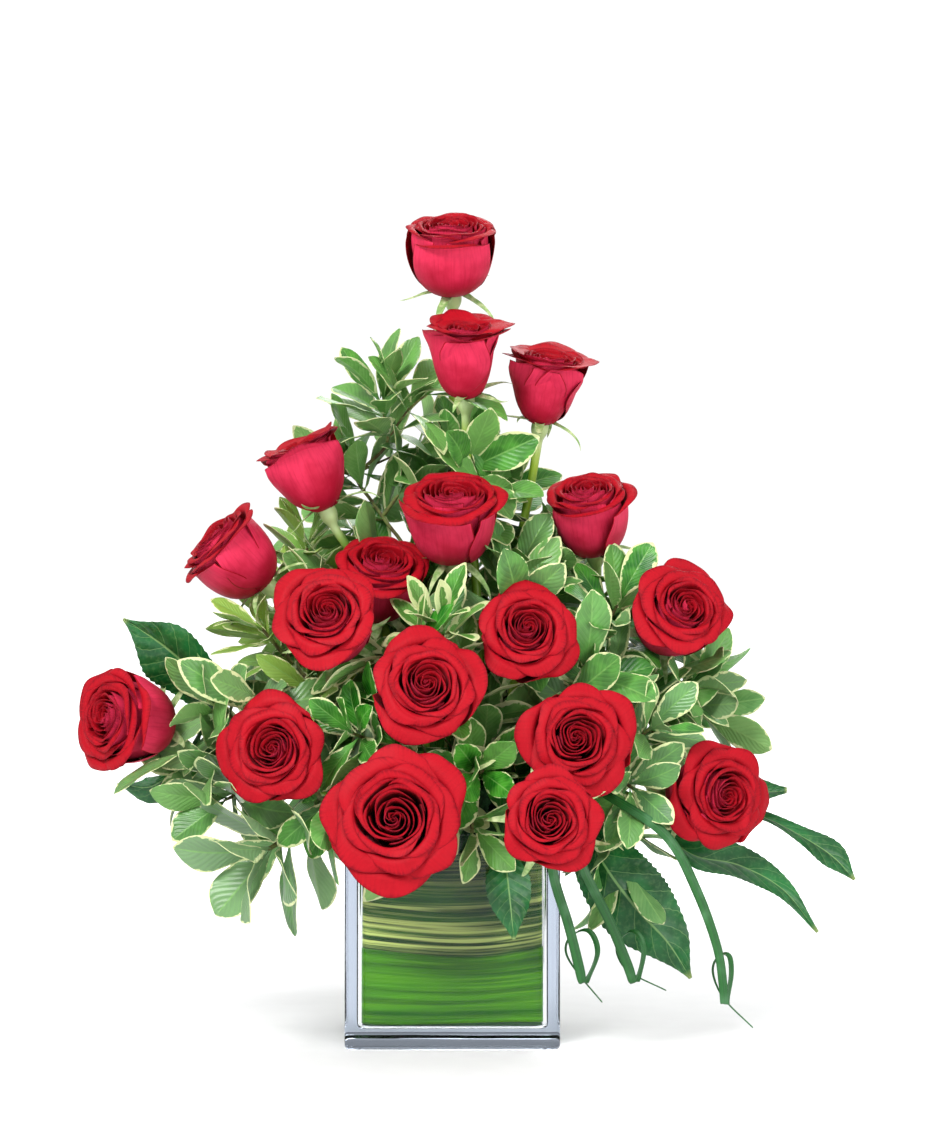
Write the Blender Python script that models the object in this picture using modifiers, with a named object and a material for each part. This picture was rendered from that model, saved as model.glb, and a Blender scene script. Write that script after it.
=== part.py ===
"""Rose arrangement in a square glass vase.

Metres, +Z up. The origin is the centre of the vase's underside, and the front looks along -Y.
Every stem starts in a block of floral foam that stands in the vase, inside two wound liner leaves.
"""

import math

import bmesh
import bpy
from mathutils import Matrix, Vector
from mathutils.bvhtree import BVHTree
from mathutils.geometry import interpolate_bezier

OBJECT_NAME = "rose_arrangement"

# Vase
VASE_SIDE = 0.127
VASE_HEIGHT = 0.127
VASE_WALL = 0.007
VASE_BASE = 0.012
VASE_EDGE = 0.003
INNER_CORNER = 0.0075
INNER_FLOOR_EDGE = 0.003

# Lining and foam
CLEARANCE = 0.0004
LINER_THICKNESS = 0.0009
LINER_SEAM_HEIGHT = 0.057
LINER_TOP_DROP = 0.008
FOAM_RISE = 0.028
FOAM_EDGE = 0.003

# Sockets, the places where stems enter the foam
SOCKET_SPACING = 0.0125
SOCKET_FOCUS = 0.085
TOP_SOCKET_DEPTH = 0.030
SIDE_SOCKET_DEPTH = 0.016
SIDE_SOCKET_RISE = 0.0145
SOCKET_WALL = 0.0010

# Routes of stems and twigs: how many points they have, how far their ends pull them straight, and
# how far they may bow
STEM_STEPS = 9
TWIG_STEPS = 8
BRANCH_STEPS = 6
START_PULL = 0.35
END_PULL = 0.30
BOW_REACHES = (0.008, 0.016, 0.026, 0.038, 0.052)
BOW_TURNS = 12

# Roses
STEM_RADIUS = 0.0031
CALYX_RADIUS = 0.0058
CALYX_LENGTH = 0.012
CALYX_NECK = 0.86
BLOOM_SIDES = 12
HEAD_WIDTH = 0.060
LAYOUT_HEAD_WIDTH = 0.060
LAYOUT_VASE_SIDE = 0.127

# Foliage
TWIG_RADIUS = 0.0017
TWIG_SIDES = 4
LEAF_LENGTH = 0.041
LEAF_WIDTH = 0.0185
LEAF_THICKNESS = 0.0009
LEAF_WIDEST = 0.60
LEAF_STAGGER = 0.034
LEAF_FOOT = 0.15
LEAF_STALK_WIDTH = 0.0012
ODD_LEAF_SHARE = 0.90
TWIG_END_RADIUS = 0.0012
BRANCH_RADIUS = 0.00115
BRANCH_END_RADIUS = 0.0010
FORK_POINT = 4
STALK_RADIUS = 0.0016
BLADE_THICKNESS = 0.0008
GRASS_HALF_WIDTH = 0.0027
GRASS_FOOT_SHARE = 0.7
GRASS_HOLE = 0.0034

# Each rose: place of the middle of its head (x, y and height above the rim), the way it faces
# (degrees to the right of the front, degrees up), its width as a share of HEAD_WIDTH, and its
# depth along the way it faces as a share of its width.
ROSES = (
    (0.000, 0.015, 0.346, 0, 67, 0.94, 0.82),
    (0.008, -0.012, 0.283, 0, 70, 0.86, 0.94),
    (0.057, 0.020, 0.267, 25, 72, 0.87, 0.86),
    (-0.086, 0.005, 0.214, -70, 66, 0.89, 0.88),
    (0.000, -0.025, 0.183, 0, 60, 1.03, 0.80),
    (0.084, 0.010, 0.186, -15, 58, 0.88, 0.90),
    (-0.130, 0.000, 0.162, -72, 42, 0.95, 0.82),
    (-0.043, -0.010, 0.147, 8, 52, 0.93, 0.82),
    (-0.071, -0.065, 0.124, -10, 27, 1.05, 0.74),
    (0.043, -0.052, 0.115, 5, 20, 1.00, 0.72),
    (0.134, -0.010, 0.126, 20, 25, 1.02, 0.78),
    (-0.191, -0.030, 0.066, -45, 7, 1.02, 0.78),
    (-0.015, -0.084, 0.083, 5, 20, 1.10, 0.66),
    (-0.101, -0.070, 0.049, -15, 10, 1.06, 0.72),
    (0.072, -0.078, 0.055, 5, 10, 1.12, 0.64),
    (-0.032, -0.108, 0.014, -2, 10, 1.37, 0.50),
    (0.055, -0.122, 0.013, 4, 10, 0.94, 0.70),
    (0.154, -0.030, 0.021, 30, 5, 1.12, 0.66),
)

# Each sprig: its tips, each with a place, a facing and a leaf size. The first tip ends the twig,
# and the others end branches.
SPRIGS = {
    "top_left": (((-0.045, 0.022, 0.262), (-35, 66), 1.05), ((-0.064, 0.040, 0.215), (-60, 45), 1.0)),
    "top_middle": (((0.001, 0.030, 0.228), (15, 60), 1.0), ((0.030, 0.045, 0.200), (60, 50), 1.0)),
    "middle_right": (((0.036, -0.002, 0.150), (15, 48), 1.05), ((0.062, 0.020, 0.160), (45, 60), 1.0)),
    "upper_right": (((0.100, -0.002, 0.134), (25, 50), 1.0), ((0.122, 0.030, 0.110), (70, 30), 1.0)),
    "middle_pale": (((-0.008, -0.046, 0.120), (0, 45), 1.0),),
    "lower_middle": (((0.016, -0.066, 0.037), (12, 10), 0.95), ((-0.060, -0.075, 0.060), (-20, 10), 0.9)),
    "lower_right": (((0.106, -0.052, 0.027), (30, -5), 1.0), ((0.118, -0.045, 0.062), (40, 25), 0.95)),
    "lower_left": (((-0.110, -0.062, -0.010), (-50, -20), 1.25), ((-0.082, -0.052, 0.004), (-25, -30), 1.0)),
    "left": (((-0.142, -0.030, 0.072), (-55, 15), 1.05), ((-0.137, -0.046, 0.018), (-55, -5), 1.05)),
    "upper_left": (((-0.116, -0.012, 0.122), (-40, 50), 1.0), ((-0.090, 0.030, 0.172), (-40, 60), 1.0)),
    "right": (((0.146, 0.006, 0.086), (60, 20), 1.0), ((0.120, 0.040, 0.052), (110, 20), 1.0)),
    "back_left": (
        ((-0.062, 0.080, 0.140), (-155, 50), 1.05),
        ((-0.080, 0.085, 0.050), (-145, 15), 1.05),
        ((-0.030, 0.084, 0.020), (-170, -15), 1.0),
    ),
    "back_right": (
        ((0.060, 0.082, 0.128), (155, 45), 1.05),
        ((0.078, 0.088, 0.040), (145, 10), 1.05),
        ((0.000, 0.096, 0.070), (180, 20), 1.1),
    ),
    "front_rim": (((0.012, -0.074, 0.003), (15, -48), 0.75), ((-0.016, -0.073, 0.004), (-15, -45), 0.75)),
}

# Leaves on each branch, as (distance back from its tip in leaf lengths, how many, degrees off the
# twig, degrees of turn)
WHORLS = ((0.05, 4, 34, 0), (0.22, 5, 62, 20), (0.54, 3, 78, 50))

# Ways to turn a leaf that is in the way: degrees round the twig and degrees off it
LEAF_TRIES = (
    (0, 0),
    (14, 0),
    (-14, 0),
    (0, -18),
    (0, 16),
    (26, -10),
    (-26, -10),
    (26, 12),
    (-26, 12),
    (0, 34),
)

# Blades, each a list of stations: a place (x, y, height above the rim), a half width, and the
# direction across the blade.
GRASS = {
    "grass_blade_near": (
        ((0.056, -0.074, 0.008), 1.0, (1.0, 0.1, 0.3)),
        ((0.059, -0.079, -0.022), 1.0, (1.0, 0.1, 0.3)),
        ((0.068, -0.077, -0.052), 1.0, (1.0, 0.1, 0.25)),
        ((0.0745, -0.075, -0.078), 1.0, (1.0, 0.1, 0.1)),
        ((0.0765, -0.074, -0.086), 0.9, (1.0, 0.6, 0.0)),
        ((0.0795, -0.071, -0.083), 0.8, (0.6, 1.0, 0.0)),
        ((0.0850, -0.070, -0.068), 0.7, (0.6, 1.0, 0.0)),
        ((0.0800, -0.069, -0.056), 0.6, (0.3, 1.0, 0.0)),
        ((0.0700, -0.068, -0.059), 0.5, (-0.3, 1.0, 0.0)),
        ((0.0665, -0.0685, -0.068), 0.35, (-0.5, 1.0, 0.0)),
        ((0.0730, -0.0690, -0.080), 0.22, (-0.2, 1.0, 0.3)),
        ((0.0880, -0.0700, -0.098), 0.15, (0.0, 1.0, 0.0)),
    ),
    "grass_blade_middle": (
        ((0.066, -0.070, 0.012), 1.0, (1.0, 0.1, 0.5)),
        ((0.077, -0.075, -0.020), 1.0, (1.0, 0.1, 0.5)),
        ((0.092, -0.070, -0.050), 1.0, (1.0, 0.1, 0.35)),
        ((0.1035, -0.067, -0.078), 1.0, (1.0, 0.1, 0.1)),
        ((0.1065, -0.066, -0.087), 0.9, (1.0, 0.6, 0.0)),
        ((0.1095, -0.063, -0.083), 0.8, (0.6, 1.0, 0.0)),
        ((0.1125, -0.062, -0.067), 0.7, (0.6, 1.0, 0.0)),
        ((0.1070, -0.061, -0.057), 0.6, (0.3, 1.0, 0.0)),
        ((0.0990, -0.060, -0.062), 0.5, (-0.4, 1.0, 0.0)),
        ((0.0970, -0.0605, -0.070), 0.35, (-0.6, 1.0, 0.0)),
        ((0.1040, -0.0610, -0.081), 0.22, (-0.2, 1.0, 0.3)),
        ((0.1260, -0.0620, -0.092), 0.15, (0.0, 1.0, 0.0)),
    ),
    "grass_blade_far": (
        ((0.100, -0.066, 0.018), 1.0, (0.7, 0.3, 0.7)),
        ((0.127, -0.071, -0.002), 1.0, (0.8, 0.2, 0.6)),
        ((0.144, -0.069, -0.034), 1.0, (1.0, 0.1, 0.4)),
        ((0.1555, -0.067, -0.066), 0.9, (1.0, 0.1, 0.2)),
        ((0.1590, -0.066, -0.088), 0.9, (1.0, 0.1, 0.0)),
        ((0.1600, -0.065, -0.100), 0.9, (1.0, 0.6, 0.0)),
        ((0.1615, -0.062, -0.096), 0.8, (0.7, 1.0, 0.0)),
        ((0.1640, -0.061, -0.082), 0.7, (0.7, 1.0, 0.0)),
        ((0.1625, -0.060, -0.071), 0.6, (0.4, 1.0, 0.0)),
        ((0.1560, -0.060, -0.073), 0.5, (-0.5, 1.0, 0.0)),
        ((0.1535, -0.0605, -0.082), 0.35, (-0.7, 1.0, 0.0)),
        ((0.1600, -0.0610, -0.097), 0.22, (-0.2, 1.0, 0.3)),
        ((0.1770, -0.0620, -0.114), 0.15, (0.0, 1.0, 0.0)),
    ),
}

# Sprays of broad leaves: the points of a stalk, and the leaves on it, each as the number of the
# stalk point that it grows from and then its stations.
SPRAYS = {
    "broad_spray_left": (
        ((-0.118, -0.014, 0.050), (-0.138, -0.014, 0.060), (-0.150, -0.014, 0.062)),
        (
            (
                1,
                ((-0.152, -0.016, 0.088), 0.013, (0.7, -0.4, 0.4)),
                ((-0.172, -0.018, 0.108), 0.016, (0.7, -0.4, 0.5)),
                ((-0.198, -0.020, 0.126), 0.001, (0.5, -0.4, 0.6)),
            ),
            (
                2,
                ((-0.164, -0.010, 0.040), 0.012, (0.2, -0.8, 0.6)),
                ((-0.182, -0.006, 0.024), 0.012, (0.2, -0.7, 0.7)),
                ((-0.203, -0.008, 0.026), 0.001, (0.1, -0.7, 0.7)),
            ),
        ),
    ),
    "broad_spray_right": (
        ((0.078, -0.026, 0.012), (0.118, 0.002, 0.006), (0.162, 0.014, 0.010)),
        (
            (
                0,
                ((0.088, -0.040, -0.016), 0.018, (0.8, -0.2, 0.6)),
                ((0.108, -0.044, -0.044), 0.023, (0.8, -0.1, 0.6)),
                ((0.128, -0.042, -0.066), 0.014, (0.9, -0.1, 0.5)),
                ((0.142, -0.038, -0.088), 0.001, (1.0, 0.0, 0.2)),
            ),
            (
                1,
                ((0.144, -0.010, -0.016), 0.010, (0.3, -0.6, 0.7)),
                ((0.172, -0.018, -0.022), 0.013, (0.2, -0.6, 0.8)),
                ((0.198, -0.026, -0.036), 0.006, (0.4, -0.3, 0.8)),
                ((0.219, -0.025, -0.062), 0.001, (0.7, -0.2, 0.6)),
            ),
            (
                2,
                ((0.188, -0.006, 0.006), 0.004, (0.3, -0.7, 0.6)),
                ((0.212, -0.010, -0.006), 0.006, (0.5, -0.5, 0.7)),
                ((0.230, -0.010, -0.018), 0.008, (0.6, -0.3, 0.7)),
                ((0.243, -0.010, -0.032), 0.001, (0.8, -0.2, 0.6)),
            ),
            (
                2,
                ((0.182, 0.016, 0.018), 0.010, (0.0, -0.4, 0.9)),
                ((0.205, 0.018, 0.020), 0.002, (0.0, -0.4, 0.9)),
            ),
        ),
    ),
    "broad_leaf_front": (
        ((0.024, -0.066, 0.008), (0.030, -0.073, -0.006)),
        (
            (
                1,
                ((0.032, -0.079, -0.022), 0.012, (1.0, 0.0, 0.1)),
                ((0.034, -0.080, -0.040), 0.011, (1.0, 0.0, 0.1)),
                ((0.036, -0.079, -0.060), 0.001, (1.0, 0.0, 0.1)),
            ),
        ),
    ),
}

RIM = VASE_HEIGHT
INNER_HALF = VASE_SIDE / 2 - VASE_WALL
LINER_HALF = INNER_HALF - CLEARANCE
FOAM_HALF = LINER_HALF - LINER_THICKNESS - CLEARANCE
FOAM_TOP = RIM + FOAM_RISE
FOAM_BOTTOM = VASE_BASE + CLEARANCE
# How much the layout grows with the heads, and how much its part over the vase spreads
GROWTH = HEAD_WIDTH / LAYOUT_HEAD_WIDTH
SPREAD_INSIDE = max(VASE_SIDE / LAYOUT_VASE_SIDE, GROWTH)


def clear_scene():
    for found in list(bpy.data.objects):
        bpy.data.objects.remove(found)


def collection(name):
    made = bpy.data.collections.new(name)
    bpy.context.scene.collection.children.link(made)
    return made


def material(name, colour, roughness, transmission=0.0):
    made = bpy.data.materials.new(name)
    made.use_nodes = True
    made.diffuse_color = (*colour, 1.0)
    shader = made.node_tree.nodes["Principled BSDF"]
    shader.inputs["Base Color"].default_value = (*colour, 1.0)
    shader.inputs["Roughness"].default_value = roughness
    shader.inputs["Metallic"].default_value = 0.0
    shader.inputs["Transmission Weight"].default_value = transmission
    return made


def add_object(name, data, finish=None, group=None):
    made = bpy.data.objects.new(name, data)
    (group or PARTS).objects.link(made)
    if finish:
        made.data.materials.append(finish)
    return made


def add_cutter(name, data):
    made = add_object(name, data, group=CUTTERS)
    made.hide_render = True
    made.display_type = "WIRE"
    return made


def mesh_of(source):
    """The object as a plain closed mesh in world space, with a curve's caps welded on."""
    graph = bpy.context.evaluated_depsgraph_get()
    mesh = bpy.data.meshes.new_from_object(source.evaluated_get(graph), depsgraph=graph)
    mesh.transform(source.matrix_world)
    shape = bmesh.new()
    shape.from_mesh(mesh)
    bmesh.ops.remove_doubles(shape, verts=shape.verts, dist=1e-6)
    shape.to_mesh(mesh)
    shape.free()
    return mesh


def boolean(target, tool, operation, use_self=False):
    made = target.modifiers.new(operation.title(), "BOOLEAN")
    made.operation = operation
    made.object = tool
    made.solver = "EXACT"
    made.use_self = use_self


# ---- what stands in the way of the next piece ----

placed_points = []
placed_faces = []


def remember(mesh):
    """Adds a world-space mesh to the pieces that later ones keep clear of."""
    first = len(placed_points)
    placed_points.extend(point.co.copy() for point in mesh.vertices)
    placed_faces.extend(tuple(first + i for i in face.vertices) for face in mesh.polygons)


def obstacles():
    return BVHTree.FromPolygons(placed_points, placed_faces)


def sleeve(points, radius):
    """A six-sided tube round the points, as (vertices, faces), for testing a route."""
    sides = 6
    vertices = []
    across = Vector((0.34, 0.81, 0.47))
    for i, point in enumerate(points):
        way = (points[min(i + 1, len(points) - 1)] - points[max(i - 1, 0)]).normalized()
        across = (across - way * across.dot(way)).normalized()
        other = way.cross(across)
        for side in range(sides):
            angle = math.tau * side / sides
            vertices.append(point + radius * (across * math.cos(angle) + other * math.sin(angle)))
    faces = []
    for i in range(len(points) - 1):
        for side in range(sides):
            a = i * sides + side
            b = i * sides + (side + 1) % sides
            faces.append((a, b, b + sides, a + sides))
    return vertices, faces


def plate(corners, thickness):
    """A flat outline given a thickness, as (vertices, faces), for testing a leaf."""
    across = (corners[1] - corners[0]).cross(corners[-1] - corners[0]).normalized()
    count = len(corners)
    vertices = [corner + across * (thickness / 2) for corner in corners]
    vertices += [corner - across * (thickness / 2) for corner in corners]
    faces = [tuple(range(count)), tuple(range(2 * count - 1, count - 1, -1))]
    for i in range(count):
        j = (i + 1) % count
        faces.append((i, j, j + count, i + count))
    return vertices, faces


def clashes(tree, shape):
    return bool(tree.overlap(BVHTree.FromPolygons(*shape)))


# ---- vase, lining and foam ----


def rounded_block(half, bottom, top, corner, edge):
    """A square block with rounded upright corners and smaller rounded edges above and below."""
    shape = bmesh.new()
    bmesh.ops.create_cube(shape, size=1.0)
    middle = Matrix.Translation((0, 0, (bottom + top) / 2))
    size = Matrix.Diagonal((2 * half, 2 * half, top - bottom, 1.0))
    bmesh.ops.transform(shape, matrix=middle @ size, verts=shape.verts)

    def upright(side):
        return abs(side.verts[0].co.z - side.verts[1].co.z) > (top - bottom) / 2

    sides = [side for side in shape.edges if upright(side)]
    bmesh.ops.bevel(shape, geom=sides, offset=corner, segments=4, profile=0.5, affect="EDGES")
    if edge:
        ends = [side for side in shape.edges if abs(side.verts[0].co.z - side.verts[1].co.z) < 1e-6]
        bmesh.ops.bevel(shape, geom=ends, offset=edge, segments=2, profile=0.5, affect="EDGES")
    mesh = bpy.data.meshes.new("block")
    shape.to_mesh(mesh)
    shape.free()
    return mesh


def make_vase():
    outside = rounded_block(VASE_SIDE / 2, 0.0, VASE_HEIGHT, VASE_EDGE, VASE_EDGE / 2)
    vase = add_object("glass_vase", outside, GLASS)
    over = 2 * INNER_FLOOR_EDGE
    inside = rounded_block(INNER_HALF, VASE_BASE, VASE_HEIGHT + over, INNER_CORNER, INNER_FLOOR_EDGE)
    boolean(vase, add_cutter("cut_inside", inside), "DIFFERENCE")
    remember(mesh_of(vase))


def make_liner(name, bottom, top, finish):
    """A strip of leaf wound round inside the glass."""
    mesh = rounded_block(LINER_HALF, bottom, top, INNER_CORNER - CLEARANCE, 0.0)
    shape = bmesh.new()
    shape.from_mesh(mesh)
    caps = [face for face in shape.faces if abs(face.normal.z) > 0.5]
    bmesh.ops.delete(shape, geom=caps, context="FACES_ONLY")
    shape.to_mesh(mesh)
    shape.free()
    liner = add_object(name, mesh, finish)
    thick = liner.modifiers.new("Solidify", "SOLIDIFY")
    thick.thickness = LINER_THICKNESS
    thick.offset = -1.0
    thick.use_even_offset = True


def make_foam(sockets_used):
    corner = INNER_CORNER - LINER_THICKNESS - 2 * CLEARANCE
    block = rounded_block(FOAM_HALF, FOAM_BOTTOM, FOAM_TOP, corner, FOAM_EDGE)
    foam = add_object("floral_foam", block, FOAM)
    holes = bmesh.new()
    for entry, way, depth, radius in sockets_used:
        length = depth + CLEARANCE + 4 * radius
        middle = entry + way * (length / 2 - depth - CLEARANCE)
        turn = Vector((0, 0, 1)).rotation_difference(way).to_matrix().to_4x4()
        bmesh.ops.create_cone(
            holes,
            cap_ends=True,
            segments=8,
            radius1=radius + CLEARANCE,
            radius2=radius + CLEARANCE,
            depth=length,
            matrix=Matrix.Translation(middle) @ turn,
        )
    mesh = bpy.data.meshes.new("stem_holes")
    holes.to_mesh(mesh)
    holes.free()
    boolean(foam, add_cutter("cut_stem_holes", mesh), "DIFFERENCE", use_self=True)


# ---- sockets ----


def all_sockets():
    """Every place a stem may enter: a fanned grid on the foam's top, and a row round its sides."""
    found = []
    focus = Vector((0, 0, FOAM_TOP - SOCKET_FOCUS))
    reach = int((FOAM_HALF - FOAM_EDGE - 3 * STEM_RADIUS) / SOCKET_SPACING)
    steps = [i * SOCKET_SPACING for i in range(-reach, reach + 1)]
    for x in steps:
        for y in steps:
            entry = Vector((x, y, FOAM_TOP))
            found.append((entry, (entry - focus).normalized(), TOP_SOCKET_DEPTH))
    for quarter in range(4):
        turn = Matrix.Rotation(quarter * math.pi / 2, 3, "Z")
        for across in steps:
            entry = turn @ Vector((FOAM_HALF, across, RIM + SIDE_SOCKET_RISE))
            way = turn @ Vector((1.0, 0.6 * across / FOAM_HALF, 0.12)).normalized()
            found.append((entry, way, SIDE_SOCKET_DEPTH))
    return found


def gap_between(first, second):
    """Least distance between two straight pushes into the foam, sampled along both."""
    steps = [i / 6 for i in range(7)]
    a = [first[0] - first[1] * first[2] * t for t in steps]
    b = [second[0] - second[1] * second[2] * t for t in steps]
    return min((p - q).length for p in a for q in b)


def claim_socket(target, radius):
    """Takes the free socket that points best at the target and keeps a wall to those taken."""

    def clear(socket):
        return all(
            gap_between(socket, used[:3]) > radius + used[3] + 2 * CLEARANCE + SOCKET_WALL
            for used in SOCKETS_USED
        )

    free = [socket for socket in all_sockets() if clear(socket)]
    best = min(free, key=lambda socket: socket[1].angle(target - socket[0]))
    SOCKETS_USED.append((*best, radius))
    return best


# ---- routes ----


def placed(x, y, above_rim):
    """A layout place in the model: it spreads with the heads, and stays clear of the glass."""
    moved = []
    for value in (x, y):
        inside = max(-LAYOUT_VASE_SIDE / 2, min(LAYOUT_VASE_SIDE / 2, value))
        moved.append(inside * SPREAD_INSIDE + (value - inside) * GROWTH)
    return Vector((*moved, RIM + above_rim * GROWTH))


def direction(right, up):
    """The unit vector that looks so many degrees to the right of the front and so many up."""
    right = math.radians(right)
    up = math.radians(up)
    return Vector((math.sin(right) * math.cos(up), -math.cos(right) * math.cos(up), math.sin(up)))


def bows(line):
    """Sideways shifts to try for the middle of a route, nearest first."""
    across = line.orthogonal().normalized()
    other = line.cross(across).normalized()
    yield Vector((0, 0, 0))
    for reach in BOW_REACHES:
        for step in range(BOW_TURNS):
            angle = math.tau * step / BOW_TURNS
            yield reach * (across * math.cos(angle) + other * math.sin(angle))


def clear_route(start, start_way, end, end_way, radius, count, skip):
    """A smooth route between two places that touches nothing placed so far.

    skip is how far from its start the route is left untested, where it leaves the foam or a twig.
    """
    tree = obstacles()
    reach = (end - start).length
    routes = []
    for bow in bows(end - start):
        first = start + start_way * reach * START_PULL + bow
        second = end - end_way * reach * END_PULL + bow
        points = interpolate_bezier(start, first, second, end, count)
        tested = [point for point in points if (point - start).length > skip]
        if not clashes(tree, sleeve(tested, radius + CLEARANCE)):
            return points
        routes.append(points)
    return routes[0]


def add_tube(name, points, radii, finish, sides=6, group=None):
    """A round bar through the points, as a mesh, with its own radius at each point."""
    curve = bpy.data.curves.new(name, "CURVE")
    curve.dimensions = "3D"
    curve.bevel_depth = 1.0
    curve.bevel_resolution = (sides - 4) // 2
    curve.use_fill_caps = True
    line = curve.splines.new("POLY")
    line.points.add(len(points) - 1)
    for made, point, radius in zip(line.points, points, radii):
        made.co = (*point, 1.0)
        made.radius = radius
    bar = add_object(name + "_route", curve)
    mesh = mesh_of(bar)
    mesh.materials.clear()
    bpy.data.objects.remove(bar)
    return add_object(name, mesh, finish, group)


# ---- roses ----


def head_profile(width, depth):
    """Points down a head's outside, from the middle of its hollow crown to its base."""
    radius = width / 2
    shares = (
        (0.00, 0.86),
        (0.34, 0.94),
        (0.66, 1.00),
        (0.90, 0.90),
        (1.00, 0.74),
        (0.93, 0.50),
        (0.78, 0.26),
        (0.46, 0.06),
        (0.00, 0.00),
    )
    return [(radius * across, depth * up) for across, up in shares]


def make_bloom(number, rose):
    x, y, above_rim, right, up, share, depth_share = rose
    width = HEAD_WIDTH * share
    depth = width * depth_share
    way = direction(right, up)
    base = placed(x, y, above_rim) - way * depth / 2
    shape = bmesh.new()
    previous = None
    for across, height in head_profile(width, depth):
        point = shape.verts.new((across, 0, height))
        if previous:
            shape.edges.new((previous, point))
        previous = point
    mesh = bpy.data.meshes.new(f"rose_{number:02d}_bloom")
    shape.to_mesh(mesh)
    shape.free()
    bloom = add_object(f"rose_{number:02d}_bloom", mesh, PETAL)
    turned = bloom.modifiers.new("Screw", "SCREW")
    turned.steps = BLOOM_SIDES
    turned.render_steps = BLOOM_SIDES
    turned.use_merge_vertices = True
    turned.merge_threshold = 0.0001
    bloom.location = base
    bloom.rotation_mode = "QUATERNION"
    bloom.rotation_quaternion = Vector((0, 0, 1)).rotation_difference(way)
    bpy.context.view_layer.update()
    remember(mesh_of(bloom))
    return base, way


def make_stem(number, base, way):
    """The stem, from its cut end in the foam to the swollen calyx under the bloom."""
    top = base - way * CLEARANCE
    neck = base - way * (CLEARANCE + CALYX_LENGTH)
    entry, start_way, depth = claim_socket(neck, STEM_RADIUS)
    points = clear_route(entry, start_way, neck, way, STEM_RADIUS, STEM_STEPS, 4 * STEM_RADIUS)
    points = [entry - start_way * depth, *points, neck + (top - neck) * 0.5, top]
    radii = [STEM_RADIUS] * (len(points) - 2) + [CALYX_RADIUS * CALYX_NECK, CALYX_RADIUS]
    stem = add_tube(f"rose_{number:02d}_stem", points, radii, STEM)
    remember(stem.data)


# ---- sprigs ----


def leaf_corners(base, way, face, length, width):
    """A flat leaf on a narrow stalk, widest past its middle."""
    across = way.cross(face).normalized()
    narrow = across * LEAF_STALK_WIDTH / 2
    wide = across * width / 2
    foot = base + way * length * LEAF_FOOT
    widest = base + way * length * LEAF_WIDEST
    tip = base + way * length
    return [base + narrow, foot + narrow, widest + wide, tip, widest - wide, foot - narrow, base - narrow]


def turned_leaf(base, twig_way, off, turn, length, width):
    """A leaf that leaves the twig at the angle off, turned so far about the twig."""
    across = twig_way.orthogonal().normalized()
    spin = Matrix.Rotation(math.radians(turn), 3, twig_way)
    out = spin @ across
    off = math.radians(off)
    way = twig_way * math.cos(off) + out * math.sin(off)
    face = twig_way * math.sin(off) - out * math.cos(off)
    return leaf_corners(base, way, face, length, width)


def walk_back(points, distance):
    """The place so far before the end of a route, and the way the route runs there."""
    for start, end in zip(reversed(points[:-1]), reversed(points[1:])):
        length = (end - start).length
        way = (end - start) / length
        if distance <= length:
            return end - way * distance, way
        distance -= length
    return points[0], way


def grow_leaves(points, size, tree):
    """Leaves in whorls near a branch's tip, each turned a little until it clears what is there."""
    found = []
    for back, count, off, start in WHORLS:
        for i in range(count):
            base, tip_way = walk_back(points, (back + LEAF_STAGGER * i) * LEAF_LENGTH * size)
            turn = start + 360 * i / count
            length = LEAF_LENGTH * size * (ODD_LEAF_SHARE if i % 2 else 1.0)
            for spin, tilt in LEAF_TRIES:
                corners = turned_leaf(base, tip_way, off + tilt, turn + spin, length, LEAF_WIDTH * size)
                own = BVHTree.FromPolygons(*plate(corners, LEAF_THICKNESS + 3 * CLEARANCE))
                blade = BVHTree.FromPolygons(*plate(past_stalk(corners), LEAF_THICKNESS + CLEARANCE))
                if tree.overlap(own) or any(other.overlap(blade) for _, other in found):
                    continue
                found.append((corners, blade))
                break
    return [corners for corners, _ in found]


def past_stalk(corners):
    """The leaf without its stalk, because the stalks of one whorl meet inside the twig."""
    return corners[1:-1]


def make_sprig(name, tips):
    """A twig with a branch to each of its tips and leaves at their ends."""
    bars = []
    leaves = []
    main = None
    for place, facing, size in tips:
        end = placed(*place)
        way = direction(*facing)
        if main is None:
            entry, start_way, depth = claim_socket(end, TWIG_RADIUS)
            route = clear_route(entry, start_way, end, way, TWIG_RADIUS, TWIG_STEPS, 6 * TWIG_RADIUS)
            points = [entry - start_way * depth, *route]
            main = route
            thick, thin = TWIG_RADIUS, TWIG_END_RADIUS
        else:
            fork = main[FORK_POINT]
            start_way = (end - fork).normalized()
            points = clear_route(fork, start_way, end, way, TWIG_RADIUS, BRANCH_STEPS, 6 * TWIG_RADIUS)
            thick, thin = BRANCH_RADIUS, BRANCH_END_RADIUS
        radii = [thick + (thin - thick) * i / (len(points) - 1) for i in range(len(points))]
        bars.append(add_tube(f"{name}_{len(bars)}", points, radii, None, TWIG_SIDES, CUTTERS))
        grown = grow_leaves(points, size, obstacles())
        for corners in grown:
            remember_shape(plate(corners, LEAF_THICKNESS))
        leaves.extend(grown)
    for bar in bars:
        remember(bar.data)
    shape = bmesh.new()
    for corners in leaves:
        shape.faces.new([shape.verts.new(corner) for corner in corners])
    mesh = bpy.data.meshes.new(name + "_leaves")
    shape.to_mesh(mesh)
    shape.free()
    blades = add_object(name + "_leaves", mesh, group=CUTTERS)
    thick = blades.modifiers.new("Solidify", "SOLIDIFY")
    thick.thickness = LEAF_THICKNESS
    thick.offset = 0.0
    join_into(bars[0], bars[1:] + [blades], name, FOLIAGE)


def join_into(target, others, name, finish):
    """Unites the pieces with Booleans and moves the result among the parts."""
    for other in others:
        other.hide_render = True
        other.display_type = "WIRE"
        boolean(target, other, "UNION", use_self=True)
    CUTTERS.objects.unlink(target)
    PARTS.objects.link(target)
    target.name = name
    target.data.materials.append(finish)


def remember_shape(shape):
    first = len(placed_points)
    placed_points.extend(shape[0])
    placed_faces.extend(tuple(first + i for i in face) for face in shape[1])


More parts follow.
